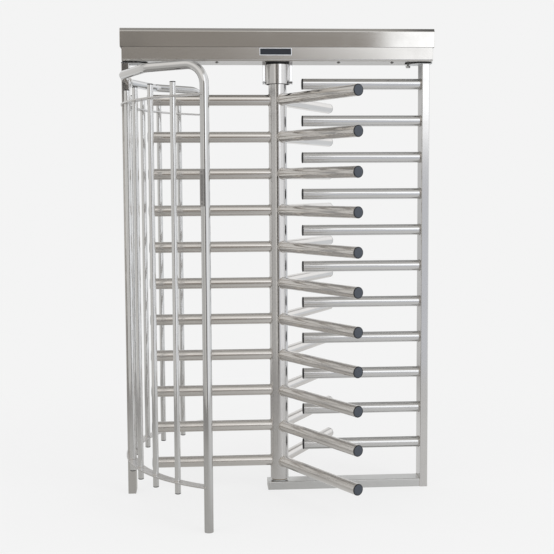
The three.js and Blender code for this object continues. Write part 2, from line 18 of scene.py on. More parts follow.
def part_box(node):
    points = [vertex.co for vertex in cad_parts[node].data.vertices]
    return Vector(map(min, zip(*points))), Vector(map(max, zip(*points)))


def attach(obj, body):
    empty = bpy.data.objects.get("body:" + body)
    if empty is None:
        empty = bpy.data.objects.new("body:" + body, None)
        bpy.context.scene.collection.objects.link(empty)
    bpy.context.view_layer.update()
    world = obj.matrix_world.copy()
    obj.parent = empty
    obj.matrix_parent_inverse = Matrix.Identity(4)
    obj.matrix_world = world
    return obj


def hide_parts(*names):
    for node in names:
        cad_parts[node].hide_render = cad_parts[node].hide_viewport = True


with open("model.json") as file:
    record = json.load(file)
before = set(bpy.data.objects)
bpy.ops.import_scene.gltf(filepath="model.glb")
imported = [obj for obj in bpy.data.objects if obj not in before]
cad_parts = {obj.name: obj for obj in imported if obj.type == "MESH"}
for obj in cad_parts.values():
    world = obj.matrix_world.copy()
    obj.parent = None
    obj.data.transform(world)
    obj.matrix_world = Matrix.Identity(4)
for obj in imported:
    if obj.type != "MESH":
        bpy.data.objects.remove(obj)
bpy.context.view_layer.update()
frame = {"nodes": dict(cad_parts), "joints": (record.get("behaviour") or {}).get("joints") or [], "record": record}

LOG = logging.getLogger("turnstile")
MAP_NAME = "UVMap"
SHARP_ANGLE = math.radians(34)
Colour = tuple[float, float, float]
Flat = tuple[float, float]
ONTO_X = Matrix.Rotation(math.pi / 2, 4, "Y")
ALONG_X = Matrix(((0, 0, 1, 0), (1, 0, 0, 0), (0, 1, 0, 0), (0, 0, 0, 1)))
IN_PLACE = Matrix.Identity(4)
TO_RIGHT = Vector((1, 0, 0))
TO_REAR = Vector((0, 1, 0))
TO_FRONT = Vector((0, -1, 0))
UP = Vector((0, 0, 1))
DOWN = Vector((0, 0, -1))


def rgba(colour: Colour) -> tuple[float, float, float, float]:
    """A colour with full opacity."""
    return (*colour, 1.0)


@dataclass(frozen=True)
class Extent:
    """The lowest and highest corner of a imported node."""

    low: Vector
    high: Vector

    @classmethod
    def of(cls, node: str) -> "Extent":
        """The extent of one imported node."""
        return cls(*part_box(node))

    @property
    def centre(self) -> Vector:
        """The middle of the box."""
        return (self.low + self.high) / 2

    @property
    def size(self) -> Vector:
        """The box's length along each axis."""
        return self.high - self.low


class NodeBoard:
    """Adds nodes to one tree and links them."""

    def __init__(self, tree: bpy.types.NodeTree) -> None:
        """Starts with an empty tree.

        Args:
            tree: the tree that the nodes go into.
        """
        self.tree = tree
        tree.nodes.clear()

    def feed(self, socket: bpy.types.NodeSocket, value: object) -> None:
        """Links a socket to another one, or sets its value.

        Args:
            socket: the input.
            value: an output socket, or a plain value.
        """
        if isinstance(value, bpy.types.NodeSocket):
            self.tree.links.new(value, socket)
        else:
            socket.default_value = value

    def add(self, kind: str, values: dict | None = None, **settings: object) -> bpy.types.Node:
        """Adds one node.

        Args:
            kind: the node's type.
            values: what goes into its inputs, by name or number.
            settings: the node's own properties.

        Returns:
            The new node.
        """
        node = self.tree.nodes.new(kind)
        for name, value in settings.items():
            setattr(node, name, value)
        for key, value in (values or {}).items():
            self.feed(node.inputs[key], value)
        return node

    def math(self, operation: str, *terms: object) -> bpy.types.NodeSocket:
        """Adds one step of arithmetic.

        Args:
            operation: the operation's name.
            terms: sockets or numbers.

        Returns:
            The result's socket.
        """
        return self.add("ShaderNodeMath", dict(enumerate(terms)), operation=operation).outputs[0]

    def fade(self, value: object, start: float, end: float) -> bpy.types.NodeSocket:
        """A smooth step from 0 at start to 1 at end.

        Args:
            value: the socket that is compared.
            start: where the step starts.
            end: where it ends.

        Returns:
            The step's socket.
        """
        values = {0: value, 1: start, 2: end}
        return self.add("ShaderNodeMapRange", values, interpolation_type="SMOOTHSTEP").outputs[0]

    def blend(self, factor: object, low: object, high: object) -> bpy.types.NodeSocket:
        """Mixes two colours.

        Args:
            factor: 0 for low and 1 for high.
            low: the first colour or its socket.
            high: the second colour or its socket.

        Returns:
            The mixed colour's socket.
        """
        return self.add("ShaderNodeMix", {0: factor, 6: low, 7: high}, data_type="RGBA").outputs[2]

    def vector(self, x: object, y: object, z: object) -> bpy.types.NodeSocket:
        """Joins three numbers to a vector socket."""
        return self.add("ShaderNodeCombineXYZ", {0: x, 1: y, 2: z}).outputs[0]

    def noise(
        self, place: object, scale: float, detail: float, roughness: float,
    ) -> bpy.types.NodeSocket:
        """A noise value.

        Args:
            place: the vector that it is read at.
            scale: waves per unit.
            detail: how many finer layers it has.
            roughness: how strong they are.

        Returns:
            The noise value's socket.
        """
        values = {"Vector": place, "Scale": scale, "Detail": detail, "Roughness": roughness}
        return self.add("ShaderNodeTexNoise", values).outputs[0]


class Grain(Enum):
    """The direction that a surface is brushed in: along its own map, or along an axis."""

    LENGTH = "length"
    X = "x"
    Z = "z"

    def spacing(self, along: float, across: float) -> tuple[float, float, float]:
        """How closely a pattern is packed on each axis.

        Args:
            along: the length of a streak.
            across: its width.

        Returns:
            The mapping's scale.
        """
        tight, long = 1 / across, 1 / along
        return (tight, tight, long) if self is Grain.Z else (long, tight, tight)


class Finish:
    """What all finishes share: a new material with its shader and a board for its nodes."""

    name: str

    def start(self) -> tuple[bpy.types.Material, NodeBoard, bpy.types.Node]:
        """Makes the material.

        Returns:
            The material, its node board and its surface shader.
        """
        material = bpy.data.materials.new(self.name)
        material.use_nodes = True
        board = NodeBoard(material.node_tree)
        shader = board.add("ShaderNodeBsdfPrincipled")
        board.add("ShaderNodeOutputMaterial", {"Surface": shader.outputs[0]})
        return material, board, shader


@dataclass(frozen=True)
class Steel(Finish):
    """Stainless steel with brushing streaks, broad bands, smudges and a haze towards the floor."""

    name: str
    colour: Colour
    roughness: float
    grain: Grain
    streak_length: float = 0.6
    streak_width: float = 0.0011
    streak_shade: float = 0.035
    streak_roughness: float = 0.035
    band_length: float = 1.4
    band_width: float = 0.009
    band_shade: float = 0.03
    relief: float = 0.000003
    smudge_size: float = 0.11
    smudge_start: float = 0.46
    smudge_full: float = 0.72
    smudge_shade: float = 0.03
    smudge_roughness: float = 0.03
    haze: float = 0.08
    haze_height: float = 1.3

    def make(self) -> bpy.types.Material:
        """Builds the material.

        Returns:
            The finished material.
        """
        material, board, shader = self.start()
        points = board.add("ShaderNodeTexCoord").outputs["Object"]
        on_map = self.grain is Grain.LENGTH
        base = board.add("ShaderNodeUVMap", uv_map=MAP_NAME).outputs[0] if on_map else points
        fine = self.grain.spacing(self.streak_length, self.streak_width)
        wide = self.grain.spacing(self.band_length, self.band_width)
        thin_map = board.add("ShaderNodeMapping", {0: base, 3: fine}).outputs[0]
        wide_map = board.add("ShaderNodeMapping", {0: base, 3: wide}).outputs[0]
        streaks = board.noise(thin_map, scale=1, detail=3, roughness=0.6)
        bands = board.noise(wide_map, scale=1, detail=2, roughness=0.5)
        cloud = board.noise(points, scale=1 / self.smudge_size, detail=4, roughness=0.6)
        smudge = board.fade(cloud, self.smudge_start, self.smudge_full)
        height = board.add("ShaderNodeSeparateXYZ", {0: points}).outputs["Z"]
        low = board.math("SUBTRACT", 1, board.fade(height, 0, self.haze_height))
        shade = board.math("MULTIPLY_ADD", streaks, 2 * self.streak_shade, 1 - self.streak_shade)
        shade = board.math("MULTIPLY_ADD", bands, 2 * self.band_shade, shade)
        shade = board.math("MULTIPLY_ADD", smudge, -self.smudge_shade, shade)
        shade = board.math("SUBTRACT", shade, self.band_shade)
        scaled = board.add("ShaderNodeVectorMath", {0: self.colour, 3: shade}, operation="SCALE")
        tint = scaled.outputs[0]
        rough = board.math("MULTIPLY_ADD", streaks, self.streak_roughness, self.roughness)
        rough = board.math("MULTIPLY_ADD", smudge, self.smudge_roughness, rough)
        rough = board.math("MULTIPLY_ADD", low, self.haze, rough)
        bump = board.add("ShaderNodeBump", {"Strength": 1.0, "Distance": self.relief, "Height": streaks})
        board.feed(shader.inputs["Base Color"], tint)
        board.feed(shader.inputs["Roughness"], rough)
        board.feed(shader.inputs["Normal"], bump.outputs[0])
        shader.inputs["Metallic"].default_value = 1.0
        return material


@dataclass(frozen=True)
class Plating(Finish):
    """Cast, plated or turned metal: mottled, with a fine orange-peel relief."""

    name: str
    colour: Colour
    second: Colour
    roughness: float
    mottle_size: float = 0.012
    mottle_start: float = 0.3
    mottle_full: float = 0.7
    peel_share: float = 9.0
    roughness_change: float = 0.14
    relief: float = 0.00002

    def make(self) -> bpy.types.Material:
        """Builds the material.

        Returns:
            The finished material.
        """
        material, board, shader = self.start()
        points = board.add("ShaderNodeTexCoord").outputs["Object"]
        mottle = board.noise(points, scale=1 / self.mottle_size, detail=5, roughness=0.65)
        fine = board.noise(points, scale=self.peel_share / self.mottle_size, detail=2, roughness=0.5)
        spread = board.fade(mottle, self.mottle_start, self.mottle_full)
        tint = board.blend(spread, rgba(self.colour), rgba(self.second))
        rough = board.math("MULTIPLY_ADD", spread, self.roughness_change, self.roughness)
        bump = board.add("ShaderNodeBump", {"Strength": 1.0, "Distance": self.relief, "Height": fine})
        board.feed(shader.inputs["Base Color"], tint)
        board.feed(shader.inputs["Roughness"], rough)
        board.feed(shader.inputs["Normal"], bump.outputs[0])
        shader.inputs["Metallic"].default_value = 1.0
        return material


@dataclass(frozen=True)
class Moulding(Finish):
    """Moulded plastic with a fine grain and paler scuffs."""

    name: str
    colour: Colour
    scuffed: Colour
    roughness: float
    grain_size: float = 0.0009
    grain_roughness: float = 0.08
    scuff_size: float = 0.01
    scuff_start: float = 0.5
    scuff_full: float = 0.8
    scuff_roughness: float = 0.2
    relief: float = 0.00003

    def make(self) -> bpy.types.Material:
        """Builds the material.

        Returns:
            The finished material.
        """
        material, board, shader = self.start()
        points = board.add("ShaderNodeTexCoord").outputs["Object"]
        grain = board.noise(points, scale=1 / self.grain_size, detail=2, roughness=0.5)
        patches = board.noise(points, scale=1 / self.scuff_size, detail=5, roughness=0.7)
        scuff = board.fade(patches, self.scuff_start, self.scuff_full)
        rough = board.math("MULTIPLY_ADD", scuff, self.scuff_roughness, self.roughness)
        rough = board.math("MULTIPLY_ADD", grain, self.grain_roughness, rough)
        bump = board.add("ShaderNodeBump", {"Strength": 1.0, "Distance": self.relief, "Height": grain})
        tint = board.blend(scuff, rgba(self.colour), rgba(self.scuffed))
        board.feed(shader.inputs["Base Color"], tint)
        board.feed(shader.inputs["Roughness"], rough)
        board.feed(shader.inputs["Normal"], bump.outputs[0])
        return material


class Shape:
    """The closed surfaces of one piece, gathered as points, faces and a map in metres."""

    def __init__(self) -> None:
        """Starts with nothing."""
        self.points: list[Vector] = []
        self.faces: list[list[int]] = []
        self.maps: list[list[Flat]] = []

    def point(self, place: Vector) -> int:
        """Adds a point and gives its number."""
        self.points.append(place)
        return len(self.points) - 1

    def face(self, corners: Iterable[tuple[int, Flat]]) -> None:
        """Adds a face, leaving out corners that fall together.

        Args:
            corners: point numbers with their places on the map.
        """
        kept: dict[int, Flat] = {}
        for number, flat in corners:
            kept.setdefault(number, flat)
        if len(kept) > 2:
            self.faces.append(list(kept))
            self.maps.append(list(kept.values()))

    def bridge(self, rings: Sequence[Sequence[int]], runs: Sequence[float], girth: float) -> None:
        """Joins rings of points with faces.

        Args:
            rings: rings with the same number of points.
            runs: each ring's distance along the piece.
            girth: the distance round it.
        """
        count = len(rings[0])
        for (lower, start), (upper, end) in zip(zip(rings, runs), zip(rings[1:], runs[1:])):
            for k in range(count):
                n = (k + 1) % count
                near, far = girth * k / count, girth * (k + 1) / count
                self.face([
                    (lower[k], (start, near)), (lower[n], (start, far)),
                    (upper[n], (end, far)), (upper[k], (end, near)),
                ])

    def lathe(self, profile: Sequence[Flat], sides: int, place: Matrix = IN_PLACE) -> "Shape":
        """Turns a profile about the Z axis. One that stays off the axis closes on itself.

        Args:
            profile: (radius, height) points.
            sides: facets round the axis.
            place: where the turned body goes.

        Returns:
            This shape.
        """
        outline = list(profile) if profile[0][0] == 0 else [*profile, profile[0]]
        rings: list[list[int]] = []
        runs = [0.0]
        for i, (radius, height) in enumerate(outline):
            if i:
                runs.append(runs[-1] + math.dist(outline[i], outline[i - 1]))
            if i == len(outline) - 1 and outline[0] == outline[i]:
                rings.append(rings[0])
            elif radius == 0:
                rings.append([self.point(place @ Vector((0, 0, height)))] * sides)
            else:
                angles = [2 * math.pi * k / sides for k in range(sides)]
                ring = [Vector((radius * math.cos(a), radius * math.sin(a), height)) for a in angles]
                rings.append([self.point(place @ corner) for corner in ring])
        widest = max(radius for radius, _ in outline)
        self.bridge(rings, runs, 2 * math.pi * widest)
        return self

    def sweep(self, path: Sequence[Vector], radius: float, sides: int) -> "Shape":
        """Runs a round bar along a path, with flat ends.

        Args:
            path: points along the centre line.
            radius: the bar's radius.
            sides: facets round it.

        Returns:
            This shape.
        """
        rings: list[list[int]] = []
        runs = [0.0]
        tangent = (path[1] - path[0]).normalized()
        across = tangent.orthogonal().normalized()
        for i, centre in enumerate(path):
            ahead = (path[min(i + 1, len(path) - 1)] - centre).normalized()
            behind = (centre - path[max(i - 1, 0)]).normalized()
            heading = (ahead + behind).normalized()
            across = (across - heading * across.dot(heading)).normalized()
            side = heading.cross(across)
            if i:
                runs.append(runs[-1] + (centre - path[i - 1]).length)
            turns = [2 * math.pi * k / sides for k in range(sides)]
            ring = [centre + (across * math.cos(t) + side * math.sin(t)) * radius for t in turns]
            rings.append([self.point(corner) for corner in ring])
        self.bridge(rings, runs, 2 * math.pi * radius)
        for ring in (rings[0], rings[-1]):
            self.face((number, (0.0, radius * k / sides)) for k, number in enumerate(ring))
        return self

    def prism(
        self, outline: Sequence[Flat], low: float, high: float,
        place: Matrix = IN_PLACE, open_side: int | None = None,
    ) -> "Shape":
        """Draws an outline out along Z.

        Args:
            outline: the points of the outline, in order.
            low: the height of its foot.
            high: the height of its top.
            place: where the prism goes.
            open_side: the number of a side that has no face.

        Returns:
            This shape.
        """
        foot = [self.point(place @ Vector((x, y, low))) for x, y in outline]
        top = [self.point(place @ Vector((x, y, high))) for x, y in outline]
        run = 0.0
        for k, here in enumerate(outline):
            n = (k + 1) % len(outline)
            step = math.dist(here, outline[n])
            if k != open_side:
                self.face([
                    (foot[k], (low, run)), (foot[n], (low, run + step)),
                    (top[n], (high, run + step)), (top[k], (high, run)),
                ])
            run += step
        self.face(zip(foot, outline))
        self.face(zip(top, outline))
        return self

    def block(self, low: Vector, high: Vector) -> "Shape":
        """Adds a box between two corners and gives this shape back."""
        outline = [(low.x, low.y), (high.x, low.y), (high.x, high.y), (low.x, high.y)]
        return self.prism(outline, low.z, high.z)

    def make(self, name: str) -> bpy.types.Object:
        """Turns what was gathered into an object with outward faces and sharp creases.

        Args:
            name: the piece's name.

        Returns:
            The new object, at the origin.
        """
        mesh = bpy.data.meshes.new(name)
        mesh.from_pydata(self.points, [], self.faces)
        layer = mesh.uv_layers.new(name=MAP_NAME)
        layer.data.foreach_set("uv", [value for loop in self.maps for pair in loop for value in pair])
        work = bmesh.new()
        work.from_mesh(mesh)
        bmesh.ops.recalc_face_normals(work, faces=work.faces)
        for face in work.faces:
            face.smooth = True
        for edge in work.edges:
            edge.smooth = edge.is_manifold and edge.calc_face_angle(0.0) < SHARP_ANGLE
        work.to_mesh(mesh)
        work.free()
        return new_object(name, mesh)


def new_object(name: str, mesh: bpy.types.Mesh) -> bpy.types.Object:
    """Puts a mesh into the scene under a name.

    Args:
        name: the object's name.
        mesh: the mesh that it shows.

    Returns:
        The new object.
    """
    obj = bpy.data.objects.new(name, mesh)
    bpy.context.scene.collection.objects.link(obj)
    return obj


def line_object(name: str, loops: Sequence[Sequence[Vector]], closed: bool) -> bpy.types.Object:
    """A mesh of bare lines, for a bead to follow.

    Args:
        name: the object's name.
        loops: the points of each line.
        closed: True where each line ends where it starts.

    Returns:
        The new object.
    """
    points: list[Vector] = []
    edges: list[tuple[int, int]] = []
    for loop in loops:
        first = len(points)
        points.extend(loop)
        edges.extend((first + k, first + k + 1) for k in range(len(loop) - 1))
        if closed:
            edges.append((first + len(loop) - 1, first))
    mesh = bpy.data.meshes.new(name)
    mesh.from_pydata(points, edges, [])
    return new_object(name, mesh)


def settle(obj: bpy.types.Object) -> bpy.types.Object:
    """Turns an object's evaluated result into its plain mesh and removes its modifiers.

    Args:
        obj: the object with live modifiers.

    Returns:
        The same object.
    """
    graph = bpy.context.evaluated_depsgraph_get()
    graph.update()
    shown = obj.evaluated_get(graph)
    mesh = bpy.data.meshes.new_from_object(shown, preserve_all_data_layers=True, depsgraph=graph)
    obj.modifiers.clear()
    obj.data = mesh
    mesh.name = obj.name
    return obj


def even_shading(obj: bpy.types.Object) -> bpy.types.Object:
    """Lets wide flat faces shade flat beside their rounded edges, and settles the piece.

    Args:
        obj: the piece, with or without live modifiers.

    Returns:
        The same object.
    """
    weights = obj.modifiers.new("even_shading", "WEIGHTED_NORMAL")
    weights.keep_sharp = True
    return settle(obj)


def round_edges(obj: bpy.types.Object, width: float, segments: int = 3) -> bpy.types.Object:
    """Rounds the sharp edges of a piece.

    Args:
        obj: the piece.
        width: how far the rounding reaches.
        segments: facets across it.

    Returns:
        The same object.
    """
    bevel = obj.modifiers.new("rounding", "BEVEL")
    bevel.width = width
    bevel.segments = segments
    bevel.limit_method = "ANGLE"
    bevel.angle_limit = SHARP_ANGLE
    return even_shading(obj)


def thicken(obj: bpy.types.Object, wall: float) -> bpy.types.Object:
    """Gives an open sheet its wall, inwards from its outer face.

    Args:
        obj: the sheet.
        wall: how thick it becomes.

    Returns:
        The same object.
    """
    sheet = obj.modifiers.new("wall", "SOLIDIFY")
    sheet.thickness = wall
    sheet.offset = -1
    sheet.use_even_offset = True
    return even_shading(obj)


def rounded_box(low: Flat, high: Flat, radius: float, steps: int = 5) -> list[Flat]:
    """A rectangle's outline with round corners.

    Args:
        low: its lower left corner.
        high: its upper right corner.
        radius: the corners' radius.
        steps: facets in each corner.

    Returns:
        The outline's points, counterclockwise.
    """
    centres = [
        (high[0] - radius, high[1] - radius), (low[0] + radius, high[1] - radius),
        (low[0] + radius, low[1] + radius), (high[0] - radius, low[1] + radius),
    ]
    points = []
    for quarter, (x, y) in enumerate(centres):
        for k in range(steps + 1):
            angle = math.pi / 2 * (quarter + k / steps)
            points.append((x + radius * math.cos(angle), y + radius * math.sin(angle)))
    return points


def circle(centre: Vector, radius: float, across: Vector, side: Vector, steps: int) -> list[Vector]:
    """Points round a circle.

    Args:
        centre: its middle.
        radius: its radius.
        across: a unit vector in its plane.
        side: the unit vector square to that one in its plane.
        steps: how many points it has.

    Returns:
        The points, in order.
    """
    turns = [2 * math.pi * k / steps for k in range(steps)]
    return [centre + (across * math.cos(t) + side * math.sin(t)) * radius for t in turns]


def rounded_route(corners: Sequence[Vector], bends: Sequence[float], step: float) -> list[Vector]:
    """A centre line through corner points with round bends.

    Args:
        corners: the points that the straight stretches meet in.
        bends: the bend radius at each inner corner.
        step: degrees between two points of a bend.

    Returns:
        Points along the line.
    """
    route = [corners[0]]
    for before, corner, after, bend in zip(corners, corners[1:], corners[2:], bends):
        back = (before - corner).normalized()
        ahead = (after - corner).normalized()
        half = back.angle(ahead) / 2
        start = corner + back * (bend / math.tan(half))
        centre = corner + (back + ahead).normalized() * (bend / math.sin(half))
        arm = start - centre
        axis = arm.cross(corner + ahead * (bend / math.tan(half)) - centre).normalized()
        sweep = math.pi - 2 * half
        count = max(2, round(math.degrees(sweep) / step))
        turns = [Matrix.Rotation(sweep * k / count, 3, axis) for k in range(count + 1)]
        route.extend(centre + turn @ arm for turn in turns)
    route.append(corners[-1])
    return route


class RepeatTree:
    """A Geometry Nodes tree with named inputs. What it makes is realised and given one finish."""

    name: str
    inputs: tuple[tuple[str, str], ...] = ()

    def __init__(self) -> None:
        """Builds the tree."""
        self.tree = bpy.data.node_groups.new(self.name, "GeometryNodeTree")
        face = self.tree.interface
        face.new_socket("Geometry", in_out="INPUT", socket_type="NodeSocketGeometry")
        named = (*self.inputs, ("Material", "NodeSocketMaterial"))
        self.keys = {
            label: face.new_socket(label, in_out="INPUT", socket_type=kind).identifier
            for label, kind in named
        }
        face.new_socket("Geometry", in_out="OUTPUT", socket_type="NodeSocketGeometry")
        board = NodeBoard(self.tree)
        entry = board.add("NodeGroupInput").outputs
        made = self.wire(board, entry)
        real = board.add("GeometryNodeRealizeInstances", {0: made}).outputs[0]
        dressed = board.add("GeometryNodeSetMaterial", {0: real, "Material": entry["Material"]})
        board.add("NodeGroupOutput", {0: dressed.outputs[0]})

    def wire(self, board: NodeBoard, entry: bpy.types.bpy_prop_collection) -> bpy.types.NodeSocket:
        """Adds the tree's own nodes.

        Args:
            board: the tree's node board.
            entry: the sockets of its inputs.

        Returns:
            The socket that holds what was made.
        """
        raise NotImplementedError

    def run(
        self, obj: bpy.types.Object, material: bpy.types.Material, **values: object,
    ) -> bpy.types.Object:
        """Runs the tree on an object and keeps the result as its plain mesh.

        Args:
            obj: the object whose mesh goes in.
            material: the finish of what comes out.
            values: the named inputs, with _ for a space.

        Returns:
            The same object.
        """
        modifier = obj.modifiers.new(self.name, "NODES")
        modifier.node_group = self.tree
        for label, value in values.items():
            modifier[self.keys[label.replace("_", " ")]] = value
        modifier[self.keys["Material"]] = material
        return settle(obj)


class RowsAndWings(RepeatTree):
    """Stacks a piece in rows up the Z axis, and repeats the stack round that axis."""

    name = "rows_and_wings"
    inputs = (
        ("Rows", "NodeSocketInt"), ("First Height", "NodeSocketFloat"), ("Row Pitch", "NodeSocketFloat"),
        ("Wings", "NodeSocketInt"), ("First Turn", "NodeSocketFloat"), ("Turn Step", "NodeSocketFloat"),
    )

    def wire(self, board: NodeBoard, entry: bpy.types.bpy_prop_collection) -> bpy.types.NodeSocket:
        """Adds a line of points for the rows and one for the wings.

        Args:
            board: the tree's node board.
            entry: the sockets of its inputs.

        Returns:
            The socket that holds all the wings.
        """
        start = board.vector(0, 0, entry["First Height"])
        step = board.vector(0, 0, entry["Row Pitch"])
        line = {"Count": entry["Rows"], "Start Location": start, "Offset": step}
        rows = board.add("GeometryNodeMeshLine", line).outputs[0]
        stack = {"Points": rows, "Instance": entry["Geometry"]}
        stacked = board.add("GeometryNodeInstanceOnPoints", stack).outputs[0]
        hub_line = {"Count": entry["Wings"], "Offset": (0, 0, 0)}
        hub = board.add("GeometryNodeMeshLine", hub_line).outputs[0]
        number = board.add("GeometryNodeInputIndex").outputs[0]
        turn = board.math("MULTIPLY_ADD", number, entry["Turn Step"], entry["First Turn"])
        turned = board.add("FunctionNodeEulerToRotation", {0: board.vector(0, 0, turn)}).outputs[0]
        wing = {"Points": hub, "Instance": stacked, "Rotation": turned}
        return board.add("GeometryNodeInstanceOnPoints", wing).outputs[0]


class PolarPairs(RepeatTree):
    """Repeats a piece round the Z axis at even steps, the same on both sides of where it lies."""

    name = "polar_pairs"
    inputs = (
        ("Count", "NodeSocketInt"), ("First Turn", "NodeSocketFloat"), ("Turn Step", "NodeSocketFloat"),
    )

    def wire(self, board: NodeBoard, entry: bpy.types.bpy_prop_collection) -> bpy.types.NodeSocket:
        """Adds one fan of copies on each side and joins them.

        Args:
            board: the tree's node board.
            entry: the sockets of its inputs.

        Returns:
            The socket that holds both fans.
        """
        hub_line = {"Count": entry["Count"], "Offset": (0, 0, 0)}
        hub = board.add("GeometryNodeMeshLine", hub_line).outputs[0]
        number = board.add("GeometryNodeInputIndex").outputs[0]
        turn = board.math("MULTIPLY_ADD", number, entry["Turn Step"], entry["First Turn"])
        both = board.add("GeometryNodeJoinGeometry")
        for side in (1, -1):
            place = board.vector(0, 0, board.math("MULTIPLY", turn, side))
            turned = board.add("FunctionNodeEulerToRotation", {0: place}).outputs[0]
            fan = {"Points": hub, "Instance": entry["Geometry"], "Rotation": turned}
            board.feed(both.inputs[0], board.add("GeometryNodeInstanceOnPoints", fan).outputs[0])
        return both.outputs[0]


class WeldBead(RepeatTree):
    """Lays a rippled bead of weld along the lines of a mesh."""

    name = "weld_bead"
    inputs = (
        ("Bead Radius", "NodeSocketFloat"), ("Ripple Length", "NodeSocketFloat"),
        ("Ripple Depth", "NodeSocketFloat"),
    )
    sides = 6
    steps_per_ripple = 4
    ripple_share = 1.6
    ripple_depth = 0.09

    def wire(self, board: NodeBoard, entry: bpy.types.bpy_prop_collection) -> bpy.types.NodeSocket:
        """Turns the lines to curves, and gives them a section that swells and shrinks.

        Args:
            board: the tree's node board.
            entry: the sockets of its inputs.

        Returns:
            The socket that holds the bead.
        """
        line = board.add("GeometryNodeMeshToCurve", {0: entry["Geometry"]}).outputs[0]
        step = board.math("DIVIDE", entry["Ripple Length"], self.steps_per_ripple)
        even = board.add("GeometryNodeResampleCurve", {"Curve": line, "Length": step}, mode="LENGTH")
        run = board.add("GeometryNodeSplineParameter").outputs["Length"]
        phase = board.math("MULTIPLY", board.math("DIVIDE", run, entry["Ripple Length"]), 2 * math.pi)
        swell = board.math("MULTIPLY_ADD", board.math("SINE", phase), entry["Ripple Depth"], 1)
        section = {"Resolution": self.sides, "Radius": entry["Bead Radius"]}
        ring = board.add("GeometryNodeCurvePrimitiveCircle", section).outputs[0]
        bead = {"Curve": even.outputs[0], "Profile Curve": ring, "Scale": swell, "Fill Caps": True}
        skin = board.add("GeometryNodeCurveToMesh", bead).outputs[0]
        return board.add("GeometryNodeSetShadeSmooth", {0: skin}).outputs[0]


class FastenerSet(RepeatTree):
    """Puts a fastener on each point of a mesh, facing one way, each turned by chance."""

    name = "fastener_set"
    inputs = (
        ("Head", "NodeSocketObject"), ("Facing", "NodeSocketVector"), ("Turn Seed", "NodeSocketInt"),
    )

    def wire(self, board: NodeBoard, entry: bpy.types.bpy_prop_collection) -> bpy.types.NodeSocket:
        """Aims the fastener's own axis, then spins it by a seeded chance.

        Args:
            board: the tree's node board.
            entry: the sockets of its inputs.

        Returns:
            The socket that holds the fasteners.
        """
        head = board.add("GeometryNodeObjectInfo", {"Object": entry["Head"]}).outputs["Geometry"]
        aim = board.add("FunctionNodeAlignRotationToVector", {"Vector": entry["Facing"]}, axis="Z")
        chance = {2: 0.0, 3: 2 * math.pi, 8: entry["Turn Seed"]}
        spin = board.add("FunctionNodeRandomValue", chance, data_type="FLOAT").outputs[1]
        twist = board.add("FunctionNodeEulerToRotation", {0: board.vector(0, 0, spin)}).outputs[0]
        both = {"Rotation": aim.outputs[0], "Rotate By": twist}
        turned = board.add("FunctionNodeRotateRotation", both, rotation_space="LOCAL").outputs[0]
        spots = board.add("GeometryNodeMeshToPoints", {0: entry["Geometry"]}).outputs[0]
        scatter = {"Points": spots, "Instance": head, "Rotation": turned}
        return board.add("GeometryNodeInstanceOnPoints", scatter).outputs[0]


class Head(Enum):
    """The kinds of fastener heads on the part."""

    PAN = "pan"
    HEX = "hex"
    SOCKET = "socket"


# Sections of turned heads: shares of the head's radius and of its height.
PAN_SHARES = ((0, 0), (1, 0), (1, 0.35), (0.88, 0.7), (0.6, 0.95), (0.42, 1), (0.32, 0.5), (0, 0.35))
HEX_TOP_SHARES = ((0, 0.8), (0.86, 0.8), (0.86, 0.9), (0.74, 1), (0, 1))
HEX_FLAT_SHARE = 0.88
SOCKET_SHARES = ((0, 0), (1, 0), (1, 0.88), (0.9, 1), (0.55, 1), (0.5, 0.35), (0, 0.3))


@dataclass(frozen=True)
class Fastener:
    """The head of a screw or bolt, standing on its seat at the origin with its axis along +Z."""

    kind: Head
    radius: float
    height: float
    washer: float = 0.0
    washer_height: float = 0.0012
    washer_edge_share: float = 0.25
    sides: int = 20

    def draw(self) -> bpy.types.Object:
        """Builds the head.

        Returns:
            An object that a fastener set can repeat.
        """
        shape = Shape()
        seat = 0.0
        if self.washer:
            edge = self.washer_height * self.washer_edge_share
            shape.lathe([
                (0, 0), (self.washer, 0), (self.washer, self.washer_height - edge),
                (self.washer - edge, self.washer_height), (0, self.washer_height),
            ], self.sides)
            seat = self.washer_height
        if self.kind is Head.HEX:
            turns = [math.pi * k / 3 for k in range(6)]
            corners = [(self.radius * math.cos(a), self.radius * math.sin(a)) for a in turns]
            shape.prism(corners, seat, seat + self.height * HEX_FLAT_SHARE)
        shares = {Head.PAN: PAN_SHARES, Head.HEX: HEX_TOP_SHARES, Head.SOCKET: SOCKET_SHARES}[self.kind]
        section = [(self.radius * out, seat + self.height * rise) for out, rise in shares]
        shape.lathe(section, self.sides)
        return shape.make(f"{self.kind.value}_head")


